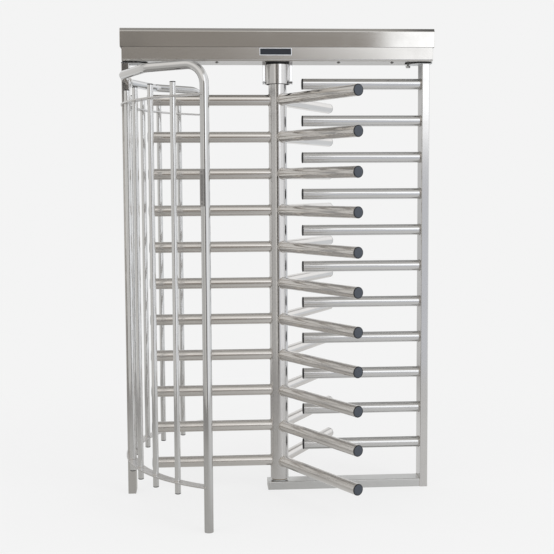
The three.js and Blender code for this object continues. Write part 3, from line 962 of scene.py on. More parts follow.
class Workshop:
    """The finishes and repeat trees that all sub-assemblies share."""

    def __init__(self) -> None:
        """Makes every finish and tree once."""
        self.tube = Steel(
            "polished_tube", (0.67, 0.65, 0.626), 0.08, Grain.LENGTH, streak_shade=0.065,
            band_shade=0.05,
        ).make()
        self.comb = Steel("comb_tube", (0.62, 0.617, 0.61), 0.07, Grain.LENGTH, band_shade=0.05).make()
        self.hoop = Steel(
            "hoop_tube", (0.61, 0.608, 0.602), 0.05, Grain.LENGTH, streak_shade=0.07, band_shade=0.08,
            band_width=0.007, haze=0.02,
        ).make()
        self.upright = Steel(
            "upright_tube", (0.712, 0.712, 0.708), 0.09, Grain.LENGTH, streak_shade=0.05,
            band_shade=0.05, haze=0.03,
        ).make()
        self.column = Steel(
            "brushed_column", (0.62, 0.61, 0.6), 0.12, Grain.LENGTH, relief=0.000006,
        ).make()
        self.post = Steel("brushed_post", (0.62, 0.61, 0.595), 0.08, Grain.Z, relief=0.000006).make()
        self.rail = Steel("brushed_rail", (0.6, 0.6, 0.59), 0.22, Grain.X, relief=0.000008).make()
        sheet = (0.6, 0.585, 0.56)
        self.cover = Steel("polished_cover", sheet, 0.06, Grain.X, 1.2, band_length=2.2).make()
        self.sheet = Steel("brushed_tray", sheet, 0.11, Grain.X, 1.2, band_length=2.2).make()
        self.flat_bar = Steel("brushed_ring", (0.62, 0.61, 0.6), 0.2, Grain.LENGTH).make()
        self.weld = Plating("weld_bead", (0.5, 0.47, 0.43), (0.62, 0.6, 0.58), 0.28, 0.004).make()
        self.zinc = Plating("zinc_plate", (0.5, 0.52, 0.54), (0.62, 0.62, 0.6), 0.3).make()
        self.ground = Steel(
            "ground_steel", (0.56, 0.565, 0.57), 0.26, Grain.X, streak_length=0.05,
        ).make()
        self.dark_bolt = Plating("dark_bolt", (0.16, 0.16, 0.16), (0.26, 0.25, 0.24), 0.34, 0.003).make()
        self.bronze = Plating("turned_bronze", (0.24, 0.17, 0.1), (0.3, 0.22, 0.13), 0.36).make()
        self.black_cap = Moulding("black_cap", (0.004, 0.004, 0.005), (0.012, 0.012, 0.013), 0.5).make()
        self.cap_face = Moulding("cap_face", (0.045, 0.054, 0.07), (0.064, 0.072, 0.087), 0.46).make()
        self.dark_plastic = Moulding(
            "dark_plastic", (0.035, 0.036, 0.04), (0.06, 0.06, 0.065), 0.45,
        ).make()
        self.reader = Moulding("reader_case", (0.215, 0.205, 0.195), (0.27, 0.26, 0.25), 0.4).make()
        self.lens = Moulding("reader_lens", (0.15, 0.145, 0.14), (0.19, 0.185, 0.18), 0.2).make()
        self.badge_field = Moulding(
            "badge_field", (0.006, 0.009, 0.016), (0.013, 0.018, 0.03), 0.45,
        ).make()
        self.badge_rim = Plating("badge_rim", (0.74, 0.76, 0.79), (0.8, 0.82, 0.84), 0.3, 0.02).make()
        self.rows_and_wings = RowsAndWings()
        self.polar_pairs = PolarPairs()
        self.weld_bead = WeldBead()
        self.fastener_set = FastenerSet()

    @staticmethod
    def dress(obj: bpy.types.Object, material: bpy.types.Material) -> bpy.types.Object:
        """Gives a whole piece one finish.

        Args:
            obj: the piece.
            material: its finish.

        Returns:
            The same object.
        """
        obj.data.materials.clear()
        obj.data.materials.append(material)
        return obj

    @staticmethod
    def mount(
        obj: bpy.types.Object, body: str, slot: str, nodes: Iterable[str] = (),
    ) -> None:
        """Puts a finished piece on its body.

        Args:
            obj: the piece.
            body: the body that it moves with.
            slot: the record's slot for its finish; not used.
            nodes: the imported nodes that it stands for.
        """
        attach(obj, body)
        if nodes:
            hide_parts(*nodes)
        LOG.info("%s on %s: %d faces", obj.name, body, len(obj.data.polygons))

    def bead(
        self, name: str, loops: Sequence[Sequence[Vector]], radius: float, closed: bool = True,
    ) -> bpy.types.Object:
        """A bead of weld along some lines.

        Args:
            name: the piece's name.
            loops: the points of each line.
            radius: the bead's radius.
            closed: True where each line ends where it starts.

        Returns:
            The bead's object.
        """
        lines = line_object(name, loops, closed)
        sizes = {
            "Bead_Radius": radius, "Ripple_Length": radius * self.weld_bead.ripple_share,
            "Ripple_Depth": self.weld_bead.ripple_depth,
        }
        return self.weld_bead.run(lines, self.weld, **sizes)

    def fasteners(
        self, name: str, kind: Fastener, spots: Sequence[Vector], facing: Vector,
        material: bpy.types.Material, seed: int,
    ) -> bpy.types.Object:
        """A set of like fasteners that all face one way.

        Args:
            name: the piece's name.
            kind: the head that is repeated.
            spots: where each one is seated.
            facing: the way that the heads point.
            material: their finish.
            seed: the seed of the chance turns.

        Returns:
            The set's object.
        """
        head = kind.draw()
        points = line_object(name, [[spot] for spot in spots], False)
        values = {"Head": head, "Facing": tuple(facing), "Turn_Seed": seed}
        made = self.fastener_set.run(points, material, **values)
        bpy.data.objects.remove(head)
        return made


def numbered(stem: str) -> list[str]:
    """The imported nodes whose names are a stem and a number, in order."""
    return sorted(name for name in frame["nodes"] if name.startswith(stem))


@dataclass
class Rotor:
    """The turning cross: column, rows of arms, their end caps and their welds."""

    shop: Workshop
    body: str = "rotor"
    wall: float = 0.002
    tube_edge: float = 0.0006
    column_wall: float = 0.003
    column_edge: float = 0.0008
    root_sink: float = 0.0008
    cap_depth: float = 0.005
    cap_lip: float = 0.0028
    cap_seam: float = 0.0001
    cap_gap: float = 0.0002
    cap_bevel: float = 0.001
    rim_shares: tuple[Flat, ...] = ((0.0, 0.5), (0.25, 0.8), (0.6, 0.92), (1.0, 0.8), (1.0, 0.6))
    panel_shares: tuple[float, float, float] = (0.58, 0.72, 0.84)
    dome_shares: tuple[Flat, ...] = ((0.6, 0.94), (0.3, 0.985), (0.0, 1.0))
    tube_sides: int = 40
    column_sides: int = 96
    bead_radius: float = 0.0024
    bead_lift: float = 0.0004
    bead_steps: int = 60
    first_turn: float = math.radians(60)
    wing_step: float = math.radians(120)
    wings: int = 3

    def __post_init__(self) -> None:
        """Reads the sizes that the frame fixes."""
        self.rows = numbered("arm_row_")
        row = Extent.of(self.rows[0])
        self.radius = row.size.z / 2
        self.reach = -row.low.x
        self.first_z = row.centre.z
        self.pitch = Extent.of(self.rows[1]).centre.z - self.first_z
        self.column = Extent.of("rotor_column")
        self.column_radius = self.column.size.y / 2
        self.root = math.sqrt(self.column_radius**2 - self.radius**2) - self.root_sink
        self.tube_end = self.reach - self.cap_depth

    def repeat(self, obj: bpy.types.Object, material: bpy.types.Material) -> bpy.types.Object:
        """Repeats what was drawn for one arm over all rows and wings."""
        sizes = {
            "Rows": len(self.rows), "First_Height": self.first_z, "Row_Pitch": self.pitch,
            "Wings": self.wings, "First_Turn": self.first_turn, "Turn_Step": self.wing_step,
        }
        return self.shop.rows_and_wings.run(obj, material, **sizes)

    def arms(self) -> None:
        """Draws the arm tubes."""
        r, edge = self.radius, self.tube_edge
        bore = r - self.wall
        profile = [
            (r, self.root), (r, self.tube_end - edge), (r - edge, self.tube_end),
            (bore, self.tube_end), (bore, self.root),
        ]
        arm = Shape().lathe(profile, self.tube_sides, ONTO_X).make("rotor_arms")
        self.shop.mount(self.repeat(arm, self.shop.tube), self.body, "polished_tube", self.rows)

    def caps(self) -> None:
        """Draws the black rims and the grey faces of the end caps."""
        r, x, depth = self.radius, self.tube_end, self.cap_depth
        seam, panel = x + self.cap_seam, r - self.cap_lip - self.cap_gap
        rim = [(0, seam), (r, seam)]
        rim += [(r - self.cap_lip * inwards, x + depth * rise) for inwards, rise in self.rim_shares]
        rim.append((0, rim[-1][1]))
        back, edge, shoulder = (x + depth * share for share in self.panel_shares)
        face = [(0, back), (panel, back), (panel, edge), (panel - self.cap_bevel, shoulder)]
        face += [(r * across, x + depth * rise) for across, rise in self.dome_shares]
        rims = Shape().lathe(rim, self.tube_sides, ONTO_X).make("arm_cap_rims")
        faces = Shape().lathe(face, self.tube_sides, ONTO_X).make("arm_cap_faces")
        self.shop.mount(self.repeat(rims, self.shop.black_cap), self.body, "dark_plastic")
        self.shop.mount(self.repeat(faces, self.shop.cap_face), self.body, "dark_plastic")

    def welds(self) -> None:
        """Lays the bead where each arm meets the column."""
        r, big = self.radius + self.bead_lift, self.column_radius + self.bead_lift
        turns = [2 * math.pi * k / self.bead_steps for k in range(self.bead_steps)]
        saddle = [
            Vector((math.sqrt(big**2 - (r * math.cos(t))**2), r * math.cos(t), r * math.sin(t)))
            for t in turns
        ]
        bead = self.shop.bead("arm_welds", [saddle], self.bead_radius)
        self.shop.mount(self.repeat(bead, self.shop.weld), self.body, "polished_tube")

    def tube(self) -> None:
        """Draws the column."""
        r, edge = self.column_radius, self.column_edge
        bore = r - self.column_wall
        foot, top = self.column.low.z, self.column.high.z
        profile = [
            (bore, foot), (r - edge, foot), (r, foot + edge), (r, top - edge), (r - edge, top),
            (bore, top),
        ]
        column = Shape().lathe(profile, self.column_sides).make("column_tube")
        self.shop.dress(column, self.shop.column)
        self.shop.mount(column, self.body, "brushed_frame", ["rotor_column"])

    def build(self) -> None:
        """Makes every piece of the rotor."""
        self.tube()
        self.arms()
        self.caps()
        self.welds()


@dataclass
class Comb:
    """The fixed bars on the right post that the arms pass between."""

    shop: Workshop
    body: str = "frame"
    wall: float = 0.002
    edge: float = 0.0006
    cap_depth: float = 0.005
    cap_seam: float = 0.0001
    crown_share: float = 0.7
    crown: float = 0.0002
    rim: tuple[Flat, ...] = ((0.0016, 0.0006), (0.0004, 0.0018), (0.0, 0.003))
    sides: int = 40
    bead_radius: float = 0.0022
    bead_lift: float = 0.0004
    bead_steps: int = 48

    def __post_init__(self) -> None:
        """Reads the sizes that the frame fixes."""
        self.bars = numbered("comb_bar_")
        bar = Extent.of(self.bars[0])
        self.low_x, self.high_x = bar.low.x, bar.high.x
        self.radius = bar.size.z / 2
        self.first_z = bar.centre.z
        self.pitch = Extent.of(self.bars[1]).centre.z - self.first_z

    def repeat(self, obj: bpy.types.Object, material: bpy.types.Material) -> bpy.types.Object:
        """Repeats what was drawn for one bar up the post."""
        sizes = {
            "Rows": len(self.bars), "First_Height": self.first_z, "Row_Pitch": self.pitch,
            "Wings": 1, "First_Turn": 0.0, "Turn_Step": 0.0,
        }
        return self.shop.rows_and_wings.run(obj, material, **sizes)

    def build(self) -> None:
        """Draws the tubes, their black end caps and the welds on the post."""
        r, edge, tip = self.radius, self.edge, self.low_x
        bore, start = r - self.wall, tip + self.cap_depth
        seam = start - self.cap_seam
        tube = [
            (r - edge, start), (r, start + edge), (r, self.high_x), (bore, self.high_x), (bore, start),
        ]
        turned = [(r - inset, tip + depth) for inset, depth in self.rim]
        cap = [(0, tip), (r * self.crown_share, tip + self.crown), *turned, (r, seam), (0, seam)]
        tubes = Shape().lathe(tube, self.sides, ONTO_X).make("comb_tubes")
        caps = Shape().lathe(cap, self.sides, ONTO_X).make("comb_caps")
        ring = circle(TO_RIGHT * (self.high_x - self.bead_lift), r, TO_REAR, UP, self.bead_steps)
        beads = self.shop.bead("comb_welds", [ring], self.bead_radius)
        self.shop.mount(self.repeat(tubes, self.shop.comb), self.body, "polished_tube", self.bars)
        self.shop.mount(self.repeat(caps, self.shop.black_cap), self.body, "dark_plastic")
        self.shop.mount(self.repeat(beads, self.shop.weld), self.body, "polished_tube")


@dataclass
class Cage:
    """The curved guard on the left: upright tubes, two rings and two bent hoops."""

    shop: Workshop
    body: str = "frame"
    picket_cap: float = 0.004
    picket_wall: float = 0.0015
    picket_edge: float = 0.0005
    picket_sides: int = 28
    plug: float = 0.012
    plug_seam: float = 0.0002
    cap_inset: float = 0.0016
    cap_rise: tuple[float, float, float] = (0.0022, 0.0036, 0.0042)
    hoop_sides: int = 40
    kink_turn: float = math.radians(36.8)
    kink_radius: float = 0.731
    hoop_bend: float = 0.086
    kink_bend: float = 0.09
    hoop_run: float = 0.119
    bend_step: float = 4.0
    ring_edge: float = 0.001
    ring_steps: int = 64
    cut_steps: int = 12
    fit: float = 0.0003
    bead_radius: float = 0.0016
    bead_steps: int = 32
    hoop_bead_share: float = 1.4
    post_bead_run: float = 0.02

    def __post_init__(self) -> None:
        """Reads the sizes that the frame fixes."""
        self.pickets = numbered("picket_")
        middles = [Extent.of(name).centre for name in self.pickets]
        half = len(middles) // 2
        turns = [math.atan2(-middle.y, -middle.x) for middle in middles]
        self.count = half
        self.first_turn = turns[half - 1]
        self.turn_step = turns[half - 2] - turns[half - 1]
        self.radius = math.hypot(middles[0].x, middles[0].y)
        self.picket = Extent.of(self.pickets[0])
        self.picket_radius = self.picket.size.y / 2
        feet = {m["name"]: Vector(m["pos_m"]) for m in frame["record"]["mounts"]}
        self.leg = feet["front_leg_foot"]
        self.leg_turn = math.atan2(-self.leg.y, -self.leg.x)
        self.post = Extent.of("left_post")
        self.hoop = Extent.of("front_hoop")
        self.leg_radius = abs(self.leg.y - self.hoop.low.y)
        self.hoop_z = self.hoop.high.z - self.leg_radius

    def at(self, radius: float, turn: float, z: float = 0.0) -> Vector:
        """A point of the cage, turned from -X towards the front."""
        return Vector((-radius * math.cos(turn), -radius * math.sin(turn), z))

    def fan(self, obj: bpy.types.Object, material: bpy.types.Material) -> bpy.types.Object:
        """Repeats what was drawn for one upright tube round the cage."""
        sizes = {"Count": self.count, "First_Turn": self.first_turn, "Turn_Step": self.turn_step}
        return self.shop.polar_pairs.run(obj, material, **sizes)

    def upright_tubes(self) -> None:
        """Draws the upright tubes with their black caps."""
        r, edge = self.picket_radius, self.picket_edge
        bore, foot = r - self.picket_wall, self.picket.low.z
        top = self.picket.high.z - self.picket_cap
        place = Matrix.Translation(self.at(self.radius, 0))
        tube = [
            (bore, foot), (r - edge, foot), (r, foot + edge), (r, top - edge), (r - edge, top),
            (bore, top),
        ]
        tubes = Shape().lathe(tube, self.picket_sides, place).make("upright_tubes")
        caps, plug = Shape(), bore - self.fit
        rim, shoulder, crown = self.cap_rise
        profile = [
            (0, -self.plug), (plug, -self.plug), (plug, self.plug_seam), (r, self.plug_seam), (r, rim),
            (r - self.cap_inset, shoulder), (0, crown),
        ]
        for start, sign in ((top, 1), (foot, -1)):
            section = [(radius, start + sign * rise) for radius, rise in profile]
            caps.lathe(section, self.picket_sides, place)
        capping = self.fan(caps.make("upright_caps"), self.shop.black_cap)
        self.shop.mount(self.fan(tubes, self.shop.upright), self.body, "polished_tube", self.pickets)
        self.shop.mount(capping, self.body, "dark_plastic")

    def upright_welds(self, rings: Sequence[Extent]) -> None:
        """Lays the beads where the upright tubes pass through the rings.

        Args:
            rings: the two rings' extents.
        """
        loops = [
            circle(self.at(self.radius, 0, z), self.picket_radius, TO_RIGHT, TO_REAR, self.bead_steps)
            for ring in rings for z in (ring.low.z, ring.high.z)
        ]
        beads = self.shop.bead("upright_welds", loops, self.bead_radius)
        self.shop.mount(self.fan(beads, self.shop.weld), self.body, "polished_tube")

    def ring_outline(self, width: float) -> list[Flat]:
        """A ring's outline: cut round the legs at its ends and notched round the left post.

        Args:
            width: the flat bar's width.

        Returns:
            The outline's points.
        """
        inner, outer = self.radius - width / 2, self.radius + width / 2
        reach = self.leg_radius + self.fit
        steps = self.ring_steps
        arc = [self.leg_turn * (2 * k / steps - 1) for k in range(steps + 1)]
        points = [self.at(outer, turn) for turn in arc]
        points.extend(self.leg_cut(reach, 1))
        notch_y = self.post.high.y + self.fit
        notch_turn = math.asin(notch_y / inner)
        points.extend(self.at(inner, turn) for turn in reversed(arc) if turn > notch_turn)
        points.append(self.at(inner, notch_turn))
        points.append(Vector((self.post.low.x - self.fit, -notch_y, 0)))
        points.append(Vector((self.post.low.x - self.fit, notch_y, 0)))
        points.append(self.at(inner, -notch_turn))
        points.extend(self.at(inner, turn) for turn in reversed(arc) if turn < -notch_turn)
        points.extend(self.leg_cut(reach, -1))
        return [(point.x, point.y) for point in points]

    def leg_cut(self, reach: float, side: int) -> list[Vector]:
        """The round cut at one end of a ring.

        Args:
            reach: the cut's radius.
            side: 1 for the front leg and -1 for the rear one.

        Returns:
            Points from the ring's outer side to its inner side, or back at the rear.
        """
        centre = self.at(self.radius, self.leg_turn * side)
        outwards = centre.normalized()
        inward_arc = Vector((outwards.y, -outwards.x, 0)) * side
        turns = [math.pi * k / self.cut_steps for k in range(self.cut_steps + 1)]
        cut = [centre + (outwards * math.cos(t) + inward_arc * math.sin(t)) * reach for t in turns]
        return cut if side == 1 else cut[::-1]

    def rings(self) -> None:
        """Draws the two flat rings."""
        extents = []
        for node in ("lower_ring", "upper_ring"):
            extent = Extent.of(node)
            width = 2 * (-self.radius - extent.low.x)
            outline = self.ring_outline(abs(width))
            ring = Shape().prism(outline, extent.low.z, extent.high.z).make(f"{node}_bar")
            self.shop.dress(round_edges(ring, self.ring_edge, 2), self.shop.flat_bar)
            self.shop.mount(ring, self.body, "brushed_frame", [node])
            extents.append(extent)
        self.upright_welds(extents)
        self.ring_welds(extents)

    def ring_welds(self, rings: Sequence[Extent]) -> None:
        """Lays the beads where the rings meet the legs and the left post.

        Args:
            rings: the two rings' extents.
        """
        lines = []
        for extent in rings:
            for side in (1, -1):
                for z in (extent.low.z, extent.high.z):
                    lines.append([p + UP * z for p in self.leg_cut(self.leg_radius, side)])
                    y = (self.post.high.y + self.fit) * side
                    start = -math.sqrt((self.radius - self.post_bead_run)**2 - y**2)
                    lines.append([Vector((start, y, z)), Vector((self.post.low.x, y, z))])
        beads = self.shop.bead("ring_welds", lines, self.bead_radius, closed=False)
        self.shop.mount(beads, self.body, "polished_tube")

    def hoops(self) -> None:
        """Draws the two bent hoops and their welds on the left post."""
        loops = []
        joint = Vector((self.post.centre.x, self.post.low.y - self.fit, self.hoop_z))
        for name, side in (("front_hoop", 1), ("rear_hoop", -1)):
            mirror = Vector((1, side, 1))
            corners = [
                self.leg, Vector((self.leg.x, self.leg.y, self.hoop_z)),
                self.at(self.kink_radius, self.kink_turn, self.hoop_z),
                joint - Vector((0, self.hoop_run, 0)), joint,
            ]
            bends = [self.hoop_bend, self.kink_bend, self.kink_bend]
            route = rounded_route([corner * mirror for corner in corners], bends, self.bend_step)
            tube = Shape().sweep(route, self.leg_radius, self.hoop_sides).make(f"{name}_tube")
            self.shop.dress(tube, self.shop.hoop)
            self.shop.mount(tube, self.body, "polished_tube", [name])
            loops.append(circle(joint * mirror, self.leg_radius, TO_RIGHT, UP, self.hoop_sides))
        beads = self.shop.bead("hoop_welds", loops, self.bead_radius * self.hoop_bead_share)
        self.shop.mount(beads, self.body, "polished_tube")

    def build(self) -> None:
        """Makes every piece of the cage."""
        self.upright_tubes()
        self.rings()
        self.hoops()


@dataclass
class Standing:
    """What carries the header: two posts, the floor rail, and the plates and bolts at the top."""

    shop: Workshop
    body: str = "frame"
    corner: float = 0.0035
    rail_corner: float = 0.004
    rail_edge: float = 0.0012
    bead_radius: float = 0.002
    bead_inset: float = 0.001
    bead_foot: float = 0.003
    shoulder: float = 0.076
    tongue: float = 0.042
    tongue_width: float = 0.028
    tongue_taper: float = 0.006
    tip_share: float = 0.6
    plate_edge: float = 0.0007
    plate_height: float = 0.006
    # The black strip on each plate is painted shadow: it stands for the dark gap under the header.
    shadow_strip_height: float = 0.003
    shadow_strip_seam: float = 0.0001
    bolt: Fastener = Fastener(Head.HEX, 0.0105, 0.008, 0.0125)
    shank_radius: float = 0.006
    shank_sides: int = 24
    shank_sink: float = 0.001
    thread_turns: int = 7
    thread_share: float = 0.88

    def posts(self) -> None:
        """Draws the two rectangular posts."""
        for node in ("left_post", "right_post"):
            box = Extent.of(node)
            outline = rounded_box((box.low.x, box.low.y), (box.high.x, box.high.y), self.corner)
            post = Shape().prism(outline, box.low.z, box.high.z).make(f"{node}_tube")
            self.shop.dress(even_shading(post), self.shop.post)
            self.shop.mount(post, self.body, "brushed_frame", [node])

    def rail(self) -> None:
        """Draws the floor rail and its weld on the right post."""
        box = Extent.of("base_rail")
        outline = rounded_box((box.low.y, box.low.z), (box.high.y, box.high.z), self.rail_corner)
        rail = Shape().prism(outline, box.low.x, box.high.x, ALONG_X).make("floor_rail")
        self.shop.dress(round_edges(rail, self.rail_edge, 2), self.shop.rail)
        self.shop.mount(rail, self.body, "brushed_frame", ["base_rail"])
        front, rear, top = box.low.y, box.high.y, box.high.z
        places = [
            (front + self.bead_inset, self.bead_foot), (front + self.bead_inset, top - self.bead_foot),
            (front + self.rail_corner, top), (rear - self.rail_corner, top),
            (rear - self.bead_inset, top - self.bead_foot), (rear - self.bead_inset, self.bead_foot),
        ]
        line = [Vector((box.high.x, y, z)) for y, z in places]
        bead = self.shop.bead("rail_weld", [line], self.bead_radius, closed=False)
        self.shop.mount(bead, self.body, "brushed_frame")

    def top_plates(self) -> None:
        """Draws the plates that join the posts to the header, with their hanging bolts, and a black strip of
        painted shadow on top of each plate.
        """
        spots = []
        for node, side in (("right_top_plate", 1), ("left_top_plate", -1)):
            box = Extent.of(node)
            outer = box.high.x if side == 1 else box.low.x
            neck = outer - side * self.shoulder
            tip = neck - side * self.tongue
            taper = tip + side * self.tongue_taper
            half, narrow = box.high.y, self.tongue_width / 2
            blunt = narrow * self.tip_share
            outline = [
                (outer, half), (neck, half), (taper, narrow), (tip, blunt),
                (tip, -blunt), (taper, -narrow), (neck, -half), (outer, -half),
            ]
            plate_z = box.high.z - self.plate_height
            shadow_strip_z = box.high.z - self.shadow_strip_height
            plate = Shape().prism(outline, plate_z, shadow_strip_z).make(f"{node}_steel")
            # A black strip between the plate and the header: painted shadow for the gap under the header.
            shadow_strip = Shape().prism(outline, shadow_strip_z + self.shadow_strip_seam, box.high.z).make(f"{node}_pad")
            self.shop.dress(round_edges(plate, self.plate_edge, 2), self.shop.zinc)
            self.shop.dress(shadow_strip, self.shop.black_cap)
            self.shop.mount(plate, self.body, "mechanism_steel", [node])
            self.shop.mount(shadow_strip, self.body, "dark_plastic")
            spots.append(Vector((tip + side * narrow, 0, box.low.z + self.bolt.height)))
        self.bolts(spots, plate_z)

    def bolts(self, spots: Sequence[Vector], plate_z: float) -> None:
        """Draws the hanging bolts under the top plates.

        Args:
            spots: the seats of the heads.
            plate_z: the underside of the plates.
        """
        heads = self.shop.fasteners("hanging_bolts", self.bolt, spots, DOWN, self.shop.zinc, seed=3)
        self.shop.mount(heads, self.body, "mechanism_steel")
        shanks = Shape()
        for spot in spots:
            rise = (plate_z - spot.z) / self.thread_turns
            profile = [(0, spot.z - self.shank_sink)]
            for k in range(self.thread_turns):
                profile.append((self.shank_radius * self.thread_share, spot.z + rise * k))
                profile.append((self.shank_radius, spot.z + rise * (k + 0.5)))
            profile.append((0, plate_z))
            shanks.lathe(profile, self.shank_sides, Matrix.Translation((spot.x, spot.y, 0)))
        bars = self.shop.dress(shanks.make("bolt_shanks"), self.shop.zinc)
        self.shop.mount(bars, self.body, "mechanism_steel")

    def build(self) -> None:
        """Makes every piece of the frame that stands."""
        self.posts()
        self.rail()
        self.top_plates()


@dataclass
class Header:
    """The beam over the passage: folded tray, lifting cover, hinges, blank badge and screws."""

    shop: Workshop
    sheet: float = 0.002
    cover_edge: float = 0.0016
    bevel_height: float = 0.014
    bevel_depth: float = 0.01
    tray_edge: float = 0.0012
    fold: float = 0.0095
    fold_steps: int = 6
    lean: float = math.radians(1.15)
    hinge_x: float = 0.48
    leaf: float = 0.0015
    knuckle: float = 0.025
    knuckle_gap: float = 0.0005
    knuckle_radius: float = 0.004
    knuckle_edge: float = 0.0005
    knuckle_sides: int = 24
    badge_x: Flat = (-0.088, 0.06)
    badge_z: Flat = (2.03, 2.064)
    badge_border: float = 0.0035
    rim_reach: Flat = (0.0014, -0.0002)
    rim_edge: float = 0.0006
    field_reach: Flat = (0.0019, 0.0012)
    field_edge: float = 0.0002
    screw: Fastener = Fastener(Head.PAN, 0.0062, 0.0035, 0.0085)
    screw_x: tuple[float, ...] = (-0.645, -0.281, 0.281, 0.53)
    screw_y: float = -0.034

    def __post_init__(self) -> None:
        """Reads the sizes that the frame fixes."""
        self.cover = Extent.of("header_cover")
        self.tray = Extent.of("header_tray")
        self.cover_y = -self.cover.low.y
        self.tray_y = -self.tray.low.y
        joint = next(j for j in frame["joints"] if j["child"] == "lid")
        self.hinge = Vector(joint["pos_m"])
        self.cover_foot = self.hinge.z + self.knuckle_radius

    def lid(self) -> None:
        """Draws the cover: an open-bottomed shell with bevelled long edges."""
        y, foot, top = self.cover_y, self.cover_foot, self.cover.high.z
        section = [
            (-y, foot), (y, foot), (y, top - self.bevel_height), (y - self.bevel_depth, top),
            (-y + self.bevel_depth, top), (-y, top - self.bevel_height),
        ]
        half = self.cover.high.x
        shell = Shape().prism(section, -half, half, ALONG_X, open_side=0).make("cover_shell")
        thicken(round_edges(shell, self.cover_edge), self.sheet)
        self.shop.dress(shell, self.shop.cover)
        self.shop.mount(shell, "lid", "header_sheet", ["header_cover"])

    def pan(self) -> None:
        """Draws the tray: a channel with round lower edges, closed ends and sides that lean in."""
        y, foot, top = self.tray_y, self.tray.low.z, self.tray.high.z
        inset = (top - foot) * math.tan(self.lean)
        section = [(y - inset, top), (inset - y, top)]
        shares = [k / self.fold_steps for k in range(self.fold_steps + 1)]
        for side in (-1, 1):
            centre_y, centre_z = side * (y - self.fold), foot + self.fold
            for share in shares if side == -1 else reversed(shares):
                angle = math.pi / 2 * share
                out, fall = self.fold * math.cos(angle), self.fold * math.sin(angle)
                section.append((centre_y + side * out, centre_z - fall))
        half = self.tray.high.x
        pan = Shape().prism(section, -half, half, ALONG_X, open_side=0).make("tray_pan")
        thicken(round_edges(pan, self.tray_edge, 2), self.sheet)
        self.shop.dress(pan, self.shop.sheet)
        self.shop.mount(pan, "frame", "header_sheet", ["header_tray"])

    def hinges(self) -> None:
        """Draws the hinge knuckles of the tray and of the cover, with their leaves."""
        fixed, moving = Shape(), Shape()
        r, z, y = self.knuckle_radius, self.hinge.z, self.hinge.y
        half = self.knuckle / 2
        for middle in (-self.hinge_x, self.hinge_x):
            self.barrel(moving, middle - half, middle + half)
            moving.block(
                Vector((middle - half, self.cover_y - self.sheet / 2, self.cover_foot)),
                Vector((middle + half, y, self.cover_foot + self.leaf)),
            )
            for end in (-1, 1):
                start = middle + end * (half + self.knuckle_gap)
                low, high = sorted((start, start + end * self.knuckle))
                self.barrel(fixed, low, high)
                fixed.block(
                    Vector((low, self.tray_y - self.sheet / 2, z - r)),
                    Vector((high, y, z - r + self.leaf)),
                )
        leaves = ((moving, "cover_knuckles", "lid"), (fixed, "tray_knuckles", "frame"))
        for shape, name, body in leaves:
            made = self.shop.dress(shape.make(name), self.shop.ground)
            self.shop.mount(made, body, "mechanism_steel")

    def barrel(self, shape: Shape, low: float, high: float) -> None:
        """Adds one rolled knuckle along the hinge line.

        Args:
            shape: what it is added to.
            low: where it starts along X.
            high: where it ends.
        """
        r, edge = self.knuckle_radius, self.knuckle_edge
        place = Matrix.Translation((0, self.hinge.y, self.hinge.z)) @ ONTO_X
        shape.lathe([
            (0, low), (r - edge, low), (r, low + edge), (r, high - edge), (r - edge, high), (0, high),
        ], self.knuckle_sides, place)

    def badge(self) -> None:
        """Draws the blank badge on the front of the tray: a pale rim round a dark field."""
        face, edge = -self.tray_y, self.badge_border
        (x0, x1), (z0, z1), (proud, back) = self.badge_x, self.badge_z, self.rim_reach
        rim = Shape().block(Vector((x0, face - proud, z0)), Vector((x1, face - back, z1)))
        proud, back = self.field_reach
        inside = Shape().block(
            Vector((x0 + edge, face - proud, z0 + edge)), Vector((x1 - edge, face - back, z1 - edge)),
        )
        plate = round_edges(rim.make("badge_plate"), self.rim_edge, 2)
        panel = round_edges(inside.make("badge_panel"), self.field_edge, 2)
        self.shop.mount(self.shop.dress(plate, self.shop.badge_rim), "frame", "header_sheet")
        self.shop.mount(self.shop.dress(panel, self.shop.badge_field), "frame", "dark_plastic")

    def screws(self) -> None:
        """Puts the screws in the tray's underside."""
        spots = [Vector((x, self.screw_y, self.tray.low.z)) for x in self.screw_x]
        heads = self.shop.fasteners("tray_screws", self.screw, spots, DOWN, self.shop.dark_bolt, seed=7)
        self.shop.mount(heads, "frame", "mechanism_steel")

    def build(self) -> None:
        """Makes every piece of the header."""
        self.lid()
        self.pan()
        self.hinges()
        self.badge()
        self.screws()


